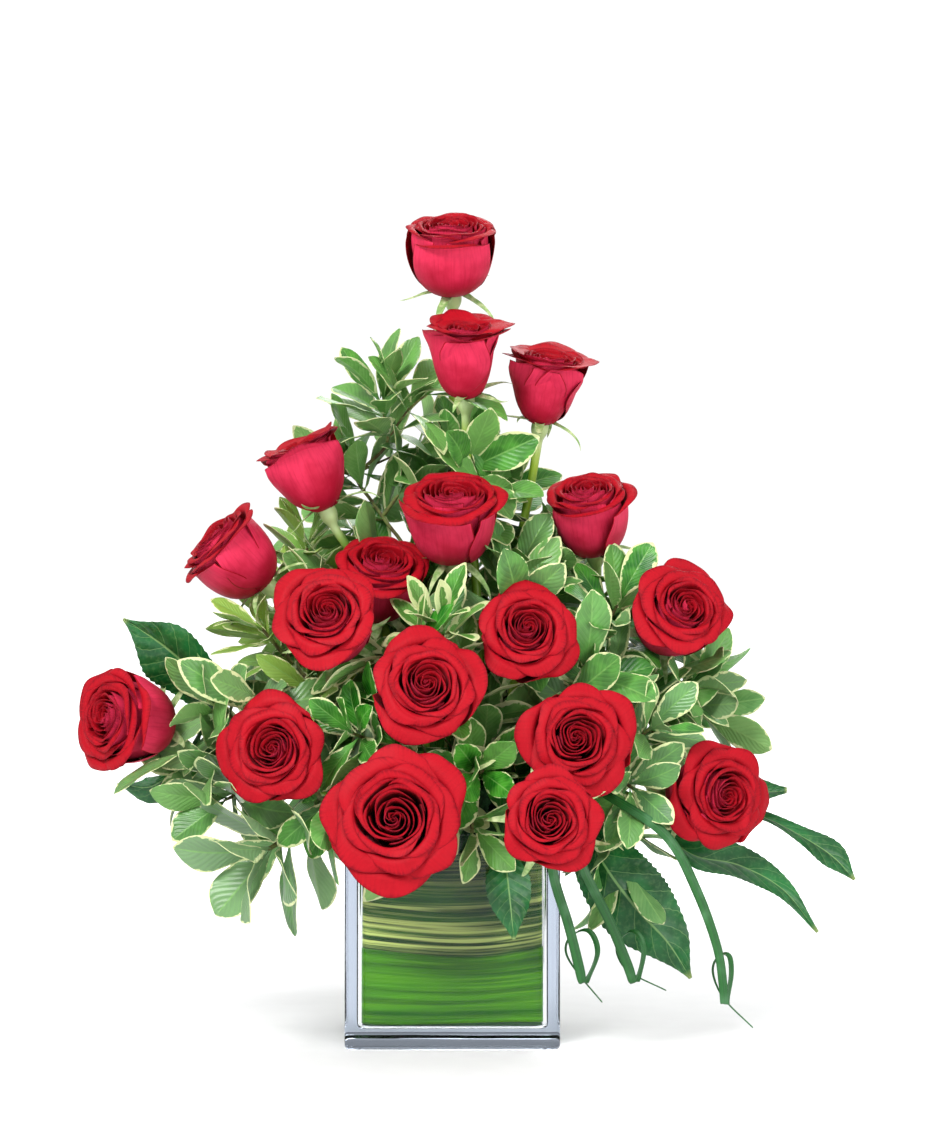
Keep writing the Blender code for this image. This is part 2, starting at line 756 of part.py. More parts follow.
# ---- blades and sprays ----


def smooth_stations(stations, steps):
    """Stations read from a smooth curve through the given ones, as (place, half width, across)."""
    values = [(*placed(*place), half, *across) for place, half, across in stations]
    ends = [values[0], *values, values[-1]]
    found = []
    for i in range(1, len(ends) - 2):
        for step in range(steps):
            t = step / steps
            found.append(tuple(spline(*[ends[i + k][axis] for k in (-1, 0, 1, 2)], t) for axis in range(7)))
    found.append(values[-1])
    return found


def spline(before, start, end, after, t):
    """Catmull-Rom value between start and end."""
    straight = (end - before) * t
    square = (2 * before - 5 * start + 4 * end - after) * t * t
    cube = (3 * start - before - 3 * end + after) * t * t * t
    return start + 0.5 * (straight + square + cube)


def add_blade(name, stations, steps, group, finish=None):
    """A thin blade lofted through its stations, given its thickness by Solidify."""
    rows = smooth_stations(stations, steps)
    shape = bmesh.new()
    previous = None
    for i, row in enumerate(rows):
        place = Vector(row[:3])
        way = Vector(rows[min(i + 1, len(rows) - 1)][:3]) - Vector(rows[max(i - 1, 0)][:3])
        way.normalize()
        across = Vector(row[4:7])
        across = (across - way * across.dot(way)).normalized() * max(row[3], BLADE_THICKNESS / 2)
        pair = (shape.verts.new(place - across), shape.verts.new(place + across))
        if previous:
            shape.faces.new((previous[0], previous[1], pair[1], pair[0]))
        previous = pair
    mesh = bpy.data.meshes.new(name)
    shape.to_mesh(mesh)
    shape.free()
    blade = add_object(name, mesh, finish, group)
    thick = blade.modifiers.new("Solidify", "SOLIDIFY")
    thick.thickness = BLADE_THICKNESS
    thick.offset = 0.0
    return blade


def make_grass(name, stations):
    """A strap blade out of a socket, over the rim and into a folded loop with a hair-thin tip."""
    first = placed(*stations[0][0])
    way = (placed(*stations[1][0]) - first).normalized()
    entry, start_way, depth = claim_socket(first, GRASS_HOLE)
    route = clear_route(entry, start_way, first, way, GRASS_HOLE, 4, 2 * GRASS_HOLE)
    foot = [entry - start_way * depth, entry - start_way * depth / 2, *route[:-1]]
    scaled = [(unplaced(point), GRASS_FOOT_SHARE, stations[0][2]) for point in foot]
    rows = [(place, half * GRASS_HALF_WIDTH, across) for place, half, across in (*scaled, *stations)]
    blade = add_blade(name, rows, 2, PARTS, GRASS_GREEN)
    remember(mesh_of(blade))


def unplaced(point):
    """The layout place that placed() turns into this point of the model."""
    half = LAYOUT_VASE_SIDE / 2 * SPREAD_INSIDE
    moved = []
    for value in (point.x, point.y):
        inside = max(-half, min(half, value))
        moved.append(inside / SPREAD_INSIDE + (value - inside) / GROWTH)
    return (*moved, (point.z - RIM) / GROWTH)


def make_spray(name, stalk, leaves):
    """A stalk with broad leaves along it."""
    places = [placed(*place) for place in stalk]
    entry, start_way, depth = claim_socket(places[0], STALK_RADIUS)
    way = (places[1] - places[0]).normalized()
    route = clear_route(entry, start_way, places[0], way, STALK_RADIUS, 6, 6 * STALK_RADIUS)
    points = [entry - start_way * depth, *route, *places[1:]]
    bar = add_tube(name + "_stalk", points, [STALK_RADIUS] * len(points), None, group=CUTTERS)
    blades = []
    for i, (joint, *stations) in enumerate(leaves):
        foot = (stalk[joint], STALK_RADIUS, stations[0][2])
        blades.append(add_blade(f"{name}_leaf_{i}", [foot, *stations], 2, CUTTERS))
        remember(mesh_of(blades[-1]))
    remember(bar.data)
    join_into(bar, blades, name, BROAD)


clear_scene()
PARTS = collection(OBJECT_NAME)
CUTTERS = collection(OBJECT_NAME + "_cutters")
GLASS = material("clear_glass", (0.86, 0.90, 0.93), 0.03, 1.0)
LEAF_LOWER = material("liner_leaf_green", (0.10, 0.36, 0.05), 0.4)
LEAF_UPPER = material("liner_leaf_streaked", (0.24, 0.36, 0.12), 0.4)
FOAM = material("wet_foam_green", (0.05, 0.13, 0.05), 0.95)
PETAL = material("rose_petal_red", (0.60, 0.01, 0.05), 0.55)
STEM = material("rose_stem_green", (0.30, 0.45, 0.06), 0.5)
FOLIAGE = material("variegated_foliage_green", (0.16, 0.36, 0.13), 0.35)
BROAD = material("broad_leaf_dark_green", (0.03, 0.16, 0.05), 0.35)
GRASS_GREEN = material("grass_blade_green", (0.04, 0.24, 0.06), 0.4)
SOCKETS_USED = []

make_vase()
make_liner(
    "liner_leaf_lower", VASE_BASE + INNER_FLOOR_EDGE, LINER_SEAM_HEIGHT - CLEARANCE, LEAF_LOWER
)
make_liner("liner_leaf_upper", LINER_SEAM_HEIGHT, VASE_HEIGHT - LINER_TOP_DROP, LEAF_UPPER)
remember(rounded_block(FOAM_HALF, RIM - FOAM_EDGE, FOAM_TOP, INNER_CORNER, FOAM_EDGE))
heads = [make_bloom(number, rose) for number, rose in enumerate(ROSES, 1)]
for number in range(len(heads), 0, -1):
    make_stem(number, *heads[number - 1])
for name, stations in GRASS.items():
    make_grass(name, stations)
for name, (stalk, leaves) in SPRAYS.items():
    make_spray(name, stalk, leaves)
for name, tips in SPRIGS.items():
    make_sprig("sprig_" + name, tips)
make_foam(SOCKETS_USED)
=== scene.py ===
"""The looks of a bouquet of red roses and variegated foliage in a square glass vase."""

import math
import random

import bpy
import numpy as np
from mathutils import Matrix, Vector


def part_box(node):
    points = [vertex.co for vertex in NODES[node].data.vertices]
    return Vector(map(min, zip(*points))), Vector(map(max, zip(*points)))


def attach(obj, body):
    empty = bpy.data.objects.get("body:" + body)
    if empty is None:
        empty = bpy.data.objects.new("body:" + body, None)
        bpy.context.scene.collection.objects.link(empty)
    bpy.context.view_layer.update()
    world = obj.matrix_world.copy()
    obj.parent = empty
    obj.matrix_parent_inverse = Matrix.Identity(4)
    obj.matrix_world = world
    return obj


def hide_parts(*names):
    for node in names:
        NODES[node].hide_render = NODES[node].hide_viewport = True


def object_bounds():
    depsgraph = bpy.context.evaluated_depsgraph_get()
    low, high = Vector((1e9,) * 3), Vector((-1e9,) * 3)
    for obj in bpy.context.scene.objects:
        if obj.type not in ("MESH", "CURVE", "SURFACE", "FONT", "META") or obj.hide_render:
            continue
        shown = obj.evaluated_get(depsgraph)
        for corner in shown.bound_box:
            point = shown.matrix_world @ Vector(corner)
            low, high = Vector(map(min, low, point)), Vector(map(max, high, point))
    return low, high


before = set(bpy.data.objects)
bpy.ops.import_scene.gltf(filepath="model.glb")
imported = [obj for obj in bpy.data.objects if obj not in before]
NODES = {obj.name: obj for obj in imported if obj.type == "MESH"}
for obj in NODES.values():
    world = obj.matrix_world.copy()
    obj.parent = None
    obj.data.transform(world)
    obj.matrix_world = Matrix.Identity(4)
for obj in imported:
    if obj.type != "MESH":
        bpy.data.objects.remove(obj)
CAD_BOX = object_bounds()
SCENE = bpy.context.scene

# Lengths are in metres.
PETALS = 30
GOLDEN = math.radians(137.5)
PETAL_THICKNESS = 0.00035
LEAF_LENGTH = 0.044
LEAF_WIDTH = 0.42  # of its length
LEAF_THICKNESS = 0.0004
TWIG_RADII = (0.0016, 0.0011)
SIDE_TWIG_RADII = (0.0010, 0.0007)
SIDE_TWIG_LENGTHS = (0.026, 0.050)
STEM_RADIUS = 0.0029
SEPALS = 5
SEPAL_LENGTHS = (0.025, 0.037)
SEPAL_WIDTHS = (0.0066, 0.0090)
SEPAL_RING = 0.0062
GRASS_HALF = 0.0030
GRASS_ROWS = 420  # rows of points in a metre
BROAD_LEAF_ROWS = 950
SPRAY_STALK_RADII = (0.0017, 0.0011)
SHEATH = 0.0135  # how far below its bloom a CAD stem starts to swell

VASE_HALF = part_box("glass_vase")[1].x
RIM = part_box("glass_vase")[1].z
VASE_BASE = 0.012
GLASS_EDGE = 0.003
GLASS_LIP = 0.002
GLASS_CORNER = 0.0075
LINER_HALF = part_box("liner_leaf_lower")[1].x
LINER_CORNER = 0.0071
LINER_THICKNESS = 0.00025
LINER_GAP = 0.0004
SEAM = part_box("liner_leaf_upper")[0].z

# First seeds, to which a rose's number or a sprig's place is added.
BLOOM_SEED = 100
SPRIG_SEED = 500
STALK_SEED = 900

# Grass blades, as the stations that hang down and then the places of the loop at the tip. A
# station is a place (x, y, height above the rim), a share of the half width, and the direction
# across.
LOOP_SIDE = (0.8, 1.0, 0.4)
LOOP_HALVES = (0.95, 0.9, 0.8, 0.65, 0.35, 0.22, 0.15)
LOOP = ((0.9, (1.0, 0.6, 0.0)), *((half, LOOP_SIDE) for half in LOOP_HALVES))
GRASS = {
    "grass_blade_near": (
        (
            ((0.056, -0.074, 0.008), 1.0, (1.0, 0.1, 0.3)),
            ((0.059, -0.079, -0.022), 1.0, (1.0, 0.1, 0.3)),
            ((0.068, -0.077, -0.052), 1.0, (1.0, 0.1, 0.25)),
            ((0.0745, -0.075, -0.078), 1.0, (1.0, 0.1, 0.1)),
        ),
        (
            (0.0765, -0.074, -0.086), (0.0795, -0.071, -0.083), (0.0850, -0.070, -0.068),
            (0.0800, -0.069, -0.056), (0.0700, -0.068, -0.059), (0.0665, -0.0685, -0.068),
            (0.0730, -0.0690, -0.080), (0.0880, -0.0700, -0.098),
        ),
    ),
    "grass_blade_middle": (
        (
            ((0.066, -0.070, 0.012), 1.0, (1.0, 0.1, 0.5)),
            ((0.077, -0.075, -0.020), 1.0, (1.0, 0.1, 0.5)),
            ((0.092, -0.070, -0.050), 1.0, (1.0, 0.1, 0.35)),
            ((0.1035, -0.067, -0.078), 1.0, (1.0, 0.1, 0.1)),
        ),
        (
            (0.1065, -0.066, -0.087), (0.1095, -0.063, -0.083), (0.1125, -0.062, -0.067),
            (0.1070, -0.061, -0.057), (0.0990, -0.060, -0.062), (0.0970, -0.0605, -0.070),
            (0.1040, -0.0610, -0.081), (0.1260, -0.0620, -0.092),
        ),
    ),
    "grass_blade_far": (
        (
            ((0.100, -0.066, 0.018), 1.0, (0.7, 0.3, 0.7)),
            ((0.127, -0.071, -0.002), 1.0, (0.8, 0.2, 0.6)),
            ((0.144, -0.069, -0.034), 1.0, (1.0, 0.1, 0.4)),
            ((0.1555, -0.067, -0.066), 0.9, (1.0, 0.1, 0.2)),
            ((0.1590, -0.066, -0.088), 0.9, (1.0, 0.1, 0.0)),
        ),
        (
            (0.1600, -0.065, -0.100), (0.1615, -0.062, -0.096), (0.1640, -0.061, -0.082),
            (0.1625, -0.060, -0.071), (0.1560, -0.060, -0.073), (0.1535, -0.0605, -0.082),
            (0.1600, -0.0610, -0.097), (0.1770, -0.0620, -0.114),
        ),
    ),
}

# Sprays of broad leaves, as the points of a stalk and then its leaves, each the number of the
# stalk point that it grows from and its stations. Half widths are in metres here.
SPRAYS = {
    "broad_spray_left": (
        ((-0.118, -0.014, 0.050), (-0.138, -0.014, 0.060), (-0.150, -0.014, 0.062)),
        (
            1,
            ((-0.152, -0.016, 0.088), 0.017, (0.7, -0.4, 0.4)),
            ((-0.172, -0.018, 0.108), 0.020, (0.7, -0.4, 0.5)),
            ((-0.198, -0.020, 0.126), 0.001, (0.5, -0.4, 0.6)),
        ),
        (
            2,
            ((-0.164, -0.010, 0.040), 0.012, (0.2, -0.8, 0.6)),
            ((-0.182, -0.006, 0.024), 0.012, (0.2, -0.7, 0.7)),
            ((-0.203, -0.008, 0.026), 0.001, (0.1, -0.7, 0.7)),
        ),
    ),
    "broad_spray_right": (
        ((0.078, -0.026, 0.012), (0.118, 0.002, 0.006), (0.162, 0.014, 0.010)),
        (
            0,
            ((0.088, -0.040, -0.016), 0.018, (0.8, -0.2, 0.6)),
            ((0.108, -0.044, -0.044), 0.023, (0.8, -0.1, 0.6)),
            ((0.128, -0.042, -0.066), 0.014, (0.9, -0.1, 0.5)),
            ((0.142, -0.038, -0.088), 0.001, (1.0, 0.0, 0.2)),
        ),
        (
            1,
            ((0.144, -0.010, -0.016), 0.010, (0.3, -0.6, 0.7)),
            ((0.172, -0.018, -0.022), 0.013, (0.2, -0.6, 0.8)),
            ((0.198, -0.026, -0.036), 0.006, (0.4, -0.3, 0.8)),
            ((0.219, -0.025, -0.062), 0.001, (0.7, -0.2, 0.6)),
        ),
        (
            2,
            ((0.188, -0.006, 0.006), 0.004, (0.3, -0.7, 0.6)),
            ((0.212, -0.010, -0.006), 0.006, (0.5, -0.5, 0.7)),
            ((0.230, -0.010, -0.018), 0.008, (0.6, -0.3, 0.7)),
            ((0.243, -0.010, -0.032), 0.001, (0.8, -0.2, 0.6)),
        ),
        (
            2,
            ((0.182, 0.016, 0.018), 0.010, (0.0, -0.4, 0.9)),
            ((0.205, 0.018, 0.020), 0.002, (0.0, -0.4, 0.9)),
        ),
    ),
    "broad_leaf_front": (
        ((0.024, -0.066, 0.008), (0.030, -0.073, -0.006)),
        (
            1,
            ((0.032, -0.079, -0.022), 0.012, (1.0, 0.0, 0.1)),
            ((0.034, -0.080, -0.040), 0.011, (1.0, 0.0, 0.1)),
            ((0.036, -0.079, -0.060), 0.001, (1.0, 0.0, 0.1)),
        ),
    ),
}


# ---- numbers and meshes ----


def smooth(low, high, value):
    """0 below low and 1 above high, with a smooth step between."""
    t = np.clip((value - low) / (high - low), 0.0, 1.0)
    return t * t * (3.0 - 2.0 * t)


def unit(vector):
    vector = np.asarray(vector, float)
    return vector / max(np.linalg.norm(vector), 1e-12)


def frame_of(axis):
    """Two unit vectors across an axis."""
    axis = unit(axis)
    side = np.cross(axis, (0.0, 0.0, 1.0))
    if np.linalg.norm(side) < 1e-3:
        side = np.cross(axis, (0.0, 1.0, 0.0))
    side = unit(side)
    return side, np.cross(side, axis)


def length_of(points):
    return np.linalg.norm(np.diff(points, axis=0), axis=1).sum()


def ring_centres(points, reach):
    """Middles of the clusters of points, each within reach of the first that is left."""
    centres = []
    left = points
    while len(left):
        near = np.linalg.norm(left - left[0], axis=1) < reach
        centres.append(left[near].mean(axis=0))
        left = left[~near]
    return np.array(centres)


class Sheets:
    """Collects grids of points into one mesh with a UV map and vertex attributes."""

    def __init__(self):
        self.points = []
        self.faces = []
        self.finishes = []
        self.values = {}
        self.count = 0

    def grid(self, points, finish=0, closed=False, **values):
        """A grid of quads. points is (rows, columns, 3), and each value a number or a grid."""
        rows, columns = points.shape[:2]
        index = self.count + np.arange(rows * columns).reshape(rows, columns)
        right = np.roll(index, -1, axis=1) if closed else index[:, 1:]
        left = index if closed else index[:, :-1]
        quads = np.stack([left[:-1], right[:-1], right[1:], left[1:]], axis=-1).reshape(-1, 4)
        self.faces.extend(quads.tolist())
        self.finishes.extend([finish] * len(quads))
        self.points.append(points.reshape(-1, 3))
        for name, value in values.items():
            whole = np.broadcast_to(np.asarray(value, float), (rows, columns)).reshape(-1)
            self.values.setdefault(name, []).append((self.count, whole))
        self.count += rows * columns

    def face(self, corners):
        """One flat face through points that are already there."""
        self.faces.append(list(corners))
        self.finishes.append(0)

    def build(self, name, materials):
        mesh = bpy.data.meshes.new(name)
        mesh.from_pydata(np.concatenate(self.points).tolist(), [], self.faces)
        for material in materials:
            mesh.materials.append(material)
        mesh.polygons.foreach_set("material_index", self.finishes)
        mesh.polygons.foreach_set("use_smooth", [True] * len(self.faces))
        stored = {}
        for key, parts in self.values.items():
            stored[key] = np.zeros(self.count)
            for start, values in parts:
                stored[key][start : start + len(values)] = values
            if key not in ("across", "along"):
                made = mesh.attributes.new(key, "FLOAT", "POINT")
                made.data.foreach_set("value", stored[key].astype(np.float32))
        if "across" in stored:
            loops = np.zeros(len(mesh.loops), np.int32)
            mesh.loops.foreach_get("vertex_index", loops)
            layer = mesh.uv_layers.new(name="UVMap")
            pairs = np.stack([stored["across"][loops], stored["along"][loops]], axis=-1)
            layer.data.foreach_set("uv", pairs.reshape(-1).astype(np.float32))
        mesh.validate()
        mesh.update()
        made = bpy.data.objects.new(name, mesh)
        SCENE.collection.objects.link(made)
        return made


def solidify(piece, thickness, inner_finish=0, offset=0.0):
    """Gives sheets their thickness. inner_finish is how far along the back face's material is."""
    thick = piece.modifiers.new("Solidify", "SOLIDIFY")
    thick.thickness = thickness
    thick.offset = offset
    thick.use_even_offset = False
    thick.material_offset = inner_finish


def subdivide(piece):
    made = piece.modifiers.new("Subdivision", "SUBSURF")
    made.levels = 1
    made.render_levels = 1


def settle(piece, slot, *replaced):
    """Rides the piece on the one body and hides the CAD nodes that it stands for. slot is not
    used.
    """
    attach(piece, "root")
    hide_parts(*replaced)


# ---- materials ----


class Wiring:
    """Helpers that make and link the nodes of one tree."""

    def __init__(self, tree):
        self.tree = tree

    def node(self, kind, **inputs):
        """A node with its inputs set or linked. An underscore in a name stands for a space."""
        made = self.tree.nodes.new("ShaderNode" + kind)
        for socket, value in inputs.items():
            self.put(made.inputs[socket.replace("_", " ")], value)
        return made

    def put(self, socket, value):
        if isinstance(value, bpy.types.NodeSocket):
            self.tree.links.new(value, socket)
        else:
            socket.default_value = value

    def parts(self, source):
        """The X, Y and Z outputs of a vector."""
        return self.node("SeparateXYZ", Vector=source).outputs


class Paint(Wiring):
    """A material with one Principled shader."""

    def __init__(self, name, **constants):
        self.material = bpy.data.materials.new(name)
        self.material.use_nodes = True
        super().__init__(self.material.node_tree)
        self.shader = self.tree.nodes["Principled BSDF"]
        for socket, value in constants.items():
            self.shader.inputs[socket.replace("_", " ")].default_value = value

    def attribute(self, name):
        made = self.node("Attribute")
        made.attribute_name = name
        return made.outputs["Fac"]

    def uv(self):
        """The across and along values of the UV map."""
        made = self.node("UVMap")
        made.uv_map = "UVMap"
        return made.outputs["UV"]

    def place(self):
        """Positions in the object's own metres."""
        return self.node("TexCoord").outputs["Object"]

    def stretched(self, source, scale):
        return self.node("Mapping", Vector=source, Scale=scale).outputs["Vector"]

    def noise(self, source, scale, detail=3.0, rough=0.5):
        made = self.node("TexNoise", Vector=source, Scale=scale, Detail=detail, Roughness=rough)
        return made.outputs["Fac"]

    def sum(self, kind, first, second=0.0, third=None):
        made = self.node("Math")
        made.operation = kind
        self.put(made.inputs[0], first)
        self.put(made.inputs[1], second)
        if third is not None:
            self.put(made.inputs[2], third)
        return made.outputs[0]

    def swayed(self, value, noise, amount):
        """value moved up or down by a noise about its middle."""
        return self.sum("MULTIPLY_ADD", self.sum("SUBTRACT", noise, 0.5), amount, value)

    def from_middle(self, across):
        """How far across is from a midrib, from 0 to 0.5."""
        return self.sum("ABSOLUTE", self.sum("SUBTRACT", across, 0.5))

    def span(self, value, low, high, to_low=0.0, to_high=1.0):
        """value carried from one range to another, smoothly and clamped."""
        ends = {"From_Min": low, "From_Max": high, "To_Min": to_low, "To_Max": to_high}
        made = self.node("MapRange", Value=value, **ends)
        made.interpolation_type = "SMOOTHSTEP"
        return made.outputs["Result"]

    def mix(self, share, first, second):
        """One colour turned into a second by a share."""
        made = self.node("Mix")
        made.data_type = "RGBA"
        for socket, value in ((0, share), (6, first), (7, second)):
            if isinstance(value, tuple):
                value = (*value, 1.0)
            self.put(made.inputs[socket], value)
        return made.outputs[2]

    def bump(self, height, distance, strength=1.0):
        made = self.node("Bump", Height=height, Distance=distance, Strength=strength)
        self.put(self.shader.inputs["Normal"], made.outputs["Normal"])

    def colour(self, value):
        self.put(self.shader.inputs["Base Color"], value)


def screen(red, green, blue):
    """A colour given as screen values of 0 to 255, as the shader's linear ones."""
    return tuple((value / 255.0) ** 2.2 for value in (red, green, blue))


YOUNG_LEAF = screen(146, 178, 78)
# Grey-green: partly some leaves' own tone and partly a painted sheen of light on their gloss.
GREY_TONE_AND_SHEEN_LEAF = screen(122, 150, 116)
BLEMISH = screen(104, 70, 36)
WHITE = (1.0, 1.0, 1.0, 1.0)
MARGIN = 0.15  # width of a leaf's cream margin, in the leaf's edge attribute


def petal_paint(name, deep, bright, edge, vein):
    """A petal face: deep red towards its foot, partly its own tone and partly painted shade deep
    in the bloom, brighter at the rim, partly a painted highlight, and fine veins along it.
    """
    sheen = {"Sheen_Weight": 0.06, "Sheen_Roughness": 0.35, "Sheen_Tint": (1.0, 0.35, 0.45, 1.0)}
    paint = Paint(name, Roughness=0.55, IOR=1.4, Specular_IOR_Level=0.14, **sheen)
    uv = paint.uv()
    along = paint.parts(uv)["Y"]
    veins = paint.noise(paint.stretched(uv, (34.0, 2.4, 1.0)), 1.0, 4.0, 0.6)
    blotch = paint.noise(paint.place(), 70.0, 3.0)
    # Partly painted shade and highlight: the red runs from deep at the petal's foot, where the
    # bloom's depth shades it, to bright at its rim, where light catches it, over the petal's own
    # tone.
    lift = paint.swayed(along, blotch, 0.9)
    shade = paint.mix(paint.span(lift, 0.15, 0.95), deep, bright)
    shade = paint.mix(paint.span(veins, 0.44, 0.72, 0.0, 0.32), shade, vein)
    rim = paint.swayed(along, veins, 0.10)
    shade = paint.mix(paint.span(rim, 0.955, 1.01, 0.0, 0.55), shade, edge)
    paint.colour(shade)
    fine = paint.noise(paint.place(), 1500.0, 2.0)
    paint.bump(paint.sum("MULTIPLY_ADD", fine, 0.35, veins), 0.00016, 0.8)
    return paint.material


def foliage_paint(name, base, pale, cream, vein, rough):
    """A variegated leaf face with cream margins and a pale midrib."""
    paint = Paint(name, Roughness=rough, IOR=1.45, Specular_IOR_Level=0.35)
    across, along, _ = paint.parts(paint.uv())
    seed = paint.attribute("seed")
    offset = paint.from_middle(across)
    blotch = paint.noise(paint.place(), 210.0, 3.0)
    patch = paint.noise(paint.place(), 90.0, 2.0)
    tone = paint.sum("FRACT", paint.sum("MULTIPLY", seed, 7.31))
    shade = paint.mix(paint.span(patch, 0.35, 0.70), base, pale)
    shade = paint.mix(paint.span(tone, 0.2, 1.0, 0.0, 0.55), shade, vein)
    shade = paint.mix(paint.attribute("young"), shade, YOUNG_LEAF)
    # Partly painted sheen: a grey-green cast over some leaves, on top of their own tone.
    shade = paint.mix(paint.attribute("grey_tone_and_sheen"), shade, GREY_TONE_AND_SHEEN_LEAF)
    slant = paint.sum("MULTIPLY_ADD", offset, -0.55, along)
    ribs = paint.sum("SINE", paint.sum("MULTIPLY", slant, 78.0))
    shade = paint.mix(paint.span(ribs, 0.80, 1.0, 0.0, 0.22), shade, vein)
    shade = paint.mix(paint.span(offset, 0.012, 0.035, 0.55, 0.0), shade, vein)
    edge = paint.swayed(paint.attribute("edge"), blotch, MARGIN * 4.5)
    edge = paint.sum("ADD", paint.swayed(edge, patch, MARGIN * 3.0), MARGIN * 0.42)
    edge = paint.sum("MULTIPLY_ADD", seed, -MARGIN * 1.1, edge)
    edge = paint.sum("MULTIPLY_ADD", paint.attribute("creamy"), -MARGIN * 4.0, edge)
    shade = paint.mix(paint.span(edge, MARGIN * 0.20, MARGIN * 0.60, 0.9, 0.0), shade, cream)
    paint.colour(shade)
    fine = paint.noise(paint.place(), 900.0, 2.0)
    height = paint.sum("MULTIPLY_ADD", fine, 0.25, paint.sum("MULTIPLY", ribs, -0.5))
    paint.bump(height, 0.00018, 0.7)
    return paint.material


def plain_paint(
    name, first, second, scale, roughness, stretch=(1.0, 1.0, 1.0), depth=0.0002, end=None
):
    """A two-toned grown surface with a fine grain. end is its colour where it turns pale."""
    paint = Paint(name, Roughness=roughness)
    spot = paint.stretched(paint.place(), stretch)
    shade = paint.mix(paint.span(paint.noise(spot, scale, 4.0), 0.35, 0.68), first, second)
    if end:
        shade = paint.mix(paint.sum("MULTIPLY", paint.attribute("pale"), 0.8), shade, end)
    paint.colour(shade)
    paint.bump(paint.noise(spot, scale * 5.0, 3.0), depth, 0.8)
    return paint.material


# ---- roses ----


def bezier(first, second, third, fourth, t):
    """A cubic curve's value at t, from its ends and two controls."""
    s = 1.0 - t
    return s**3 * first + 3 * s * s * t * second + 3 * s * t * t * third + t**3 * fourth


def petal_path(form, radius, height, order, rng):
    """A petal's middle line as distances out, heights and lengths run, and its rim radius.

    order is 0 for the innermost petal and 1 for the outermost. The bare numbers are shares of the
    bloom's radius or height, or degrees.
    """
    opened = form["open"]
    tip = 0.05 + 0.95 * order ** (1.05 + 0.16 * opened)
    reflex = smooth(0.22, 1.0, order) ** 1.3
    flare = form["flare"] * smooth(0.55, 0.85, order) * rng.uniform(*form["spread"])
    reach = 0.02 + (0.09 + 0.22 * opened) * reflex + flare
    rim_radius = radius * (tip - reach)
    fall = form["fall"] * max(0.0, (order - 0.42) / 0.58) ** 1.4
    rise = 0.05 * max(0.0, 1.0 - order / 0.42) ** 1.2
    rim_height = height * (1.0 - fall - rise + rng.uniform(-0.025, 0.025))
    lean = -14 * (1.0 - form["foot"]) * 2.0 - 8 + (8 + 16 * opened) * order**1.15
    lean = math.radians(lean)
    bend = 18 + form["bend"] * smooth(0.15, 0.75, order) + rng.uniform(-10, 14)
    lip = radius * (0.025 + 0.075 * reflex)
    foot_radius = min(radius * 0.13, rim_radius * 0.8)
    foot_height = height * 0.30 * max(0.0, 1.0 - order / 0.45)

    wall = np.linspace(0.0, 1.0, 8)[:-1]
    belly = rim_radius * form["bulge"]
    wall_r = bezier(foot_radius, rim_radius * form["foot"], belly, rim_radius, wall)
    wall_z = bezier(foot_height, foot_height + 0.02 * height, rim_height * 0.62, rim_height, wall)
    angles = np.linspace(lean, lean + math.radians(bend), 6)
    arc_r = rim_radius + lip * (math.cos(lean) - np.cos(angles))
    arc_z = rim_height + lip * (np.sin(angles) - math.sin(lean))
    left = max(radius * reach - (arc_r[-1] - rim_radius), radius * 0.01)
    left /= max(math.sin(angles[-1]), 0.35)
    ends = np.linspace(0.0, 1.0, 5)[1:]
    curl = angles[-1] + math.radians(rng.uniform(-16, 14)) * ends
    path_r = np.concatenate([wall_r, arc_r, arc_r[-1] + left * ends * np.sin(curl)])
    path_z = np.concatenate([wall_z, arc_z, arc_z[-1] + left * ends * np.cos(curl)])
    run = np.concatenate([[0.0], np.cumsum(np.hypot(np.diff(path_r), np.diff(path_z)))])
    return path_r, path_z, run, rim_radius


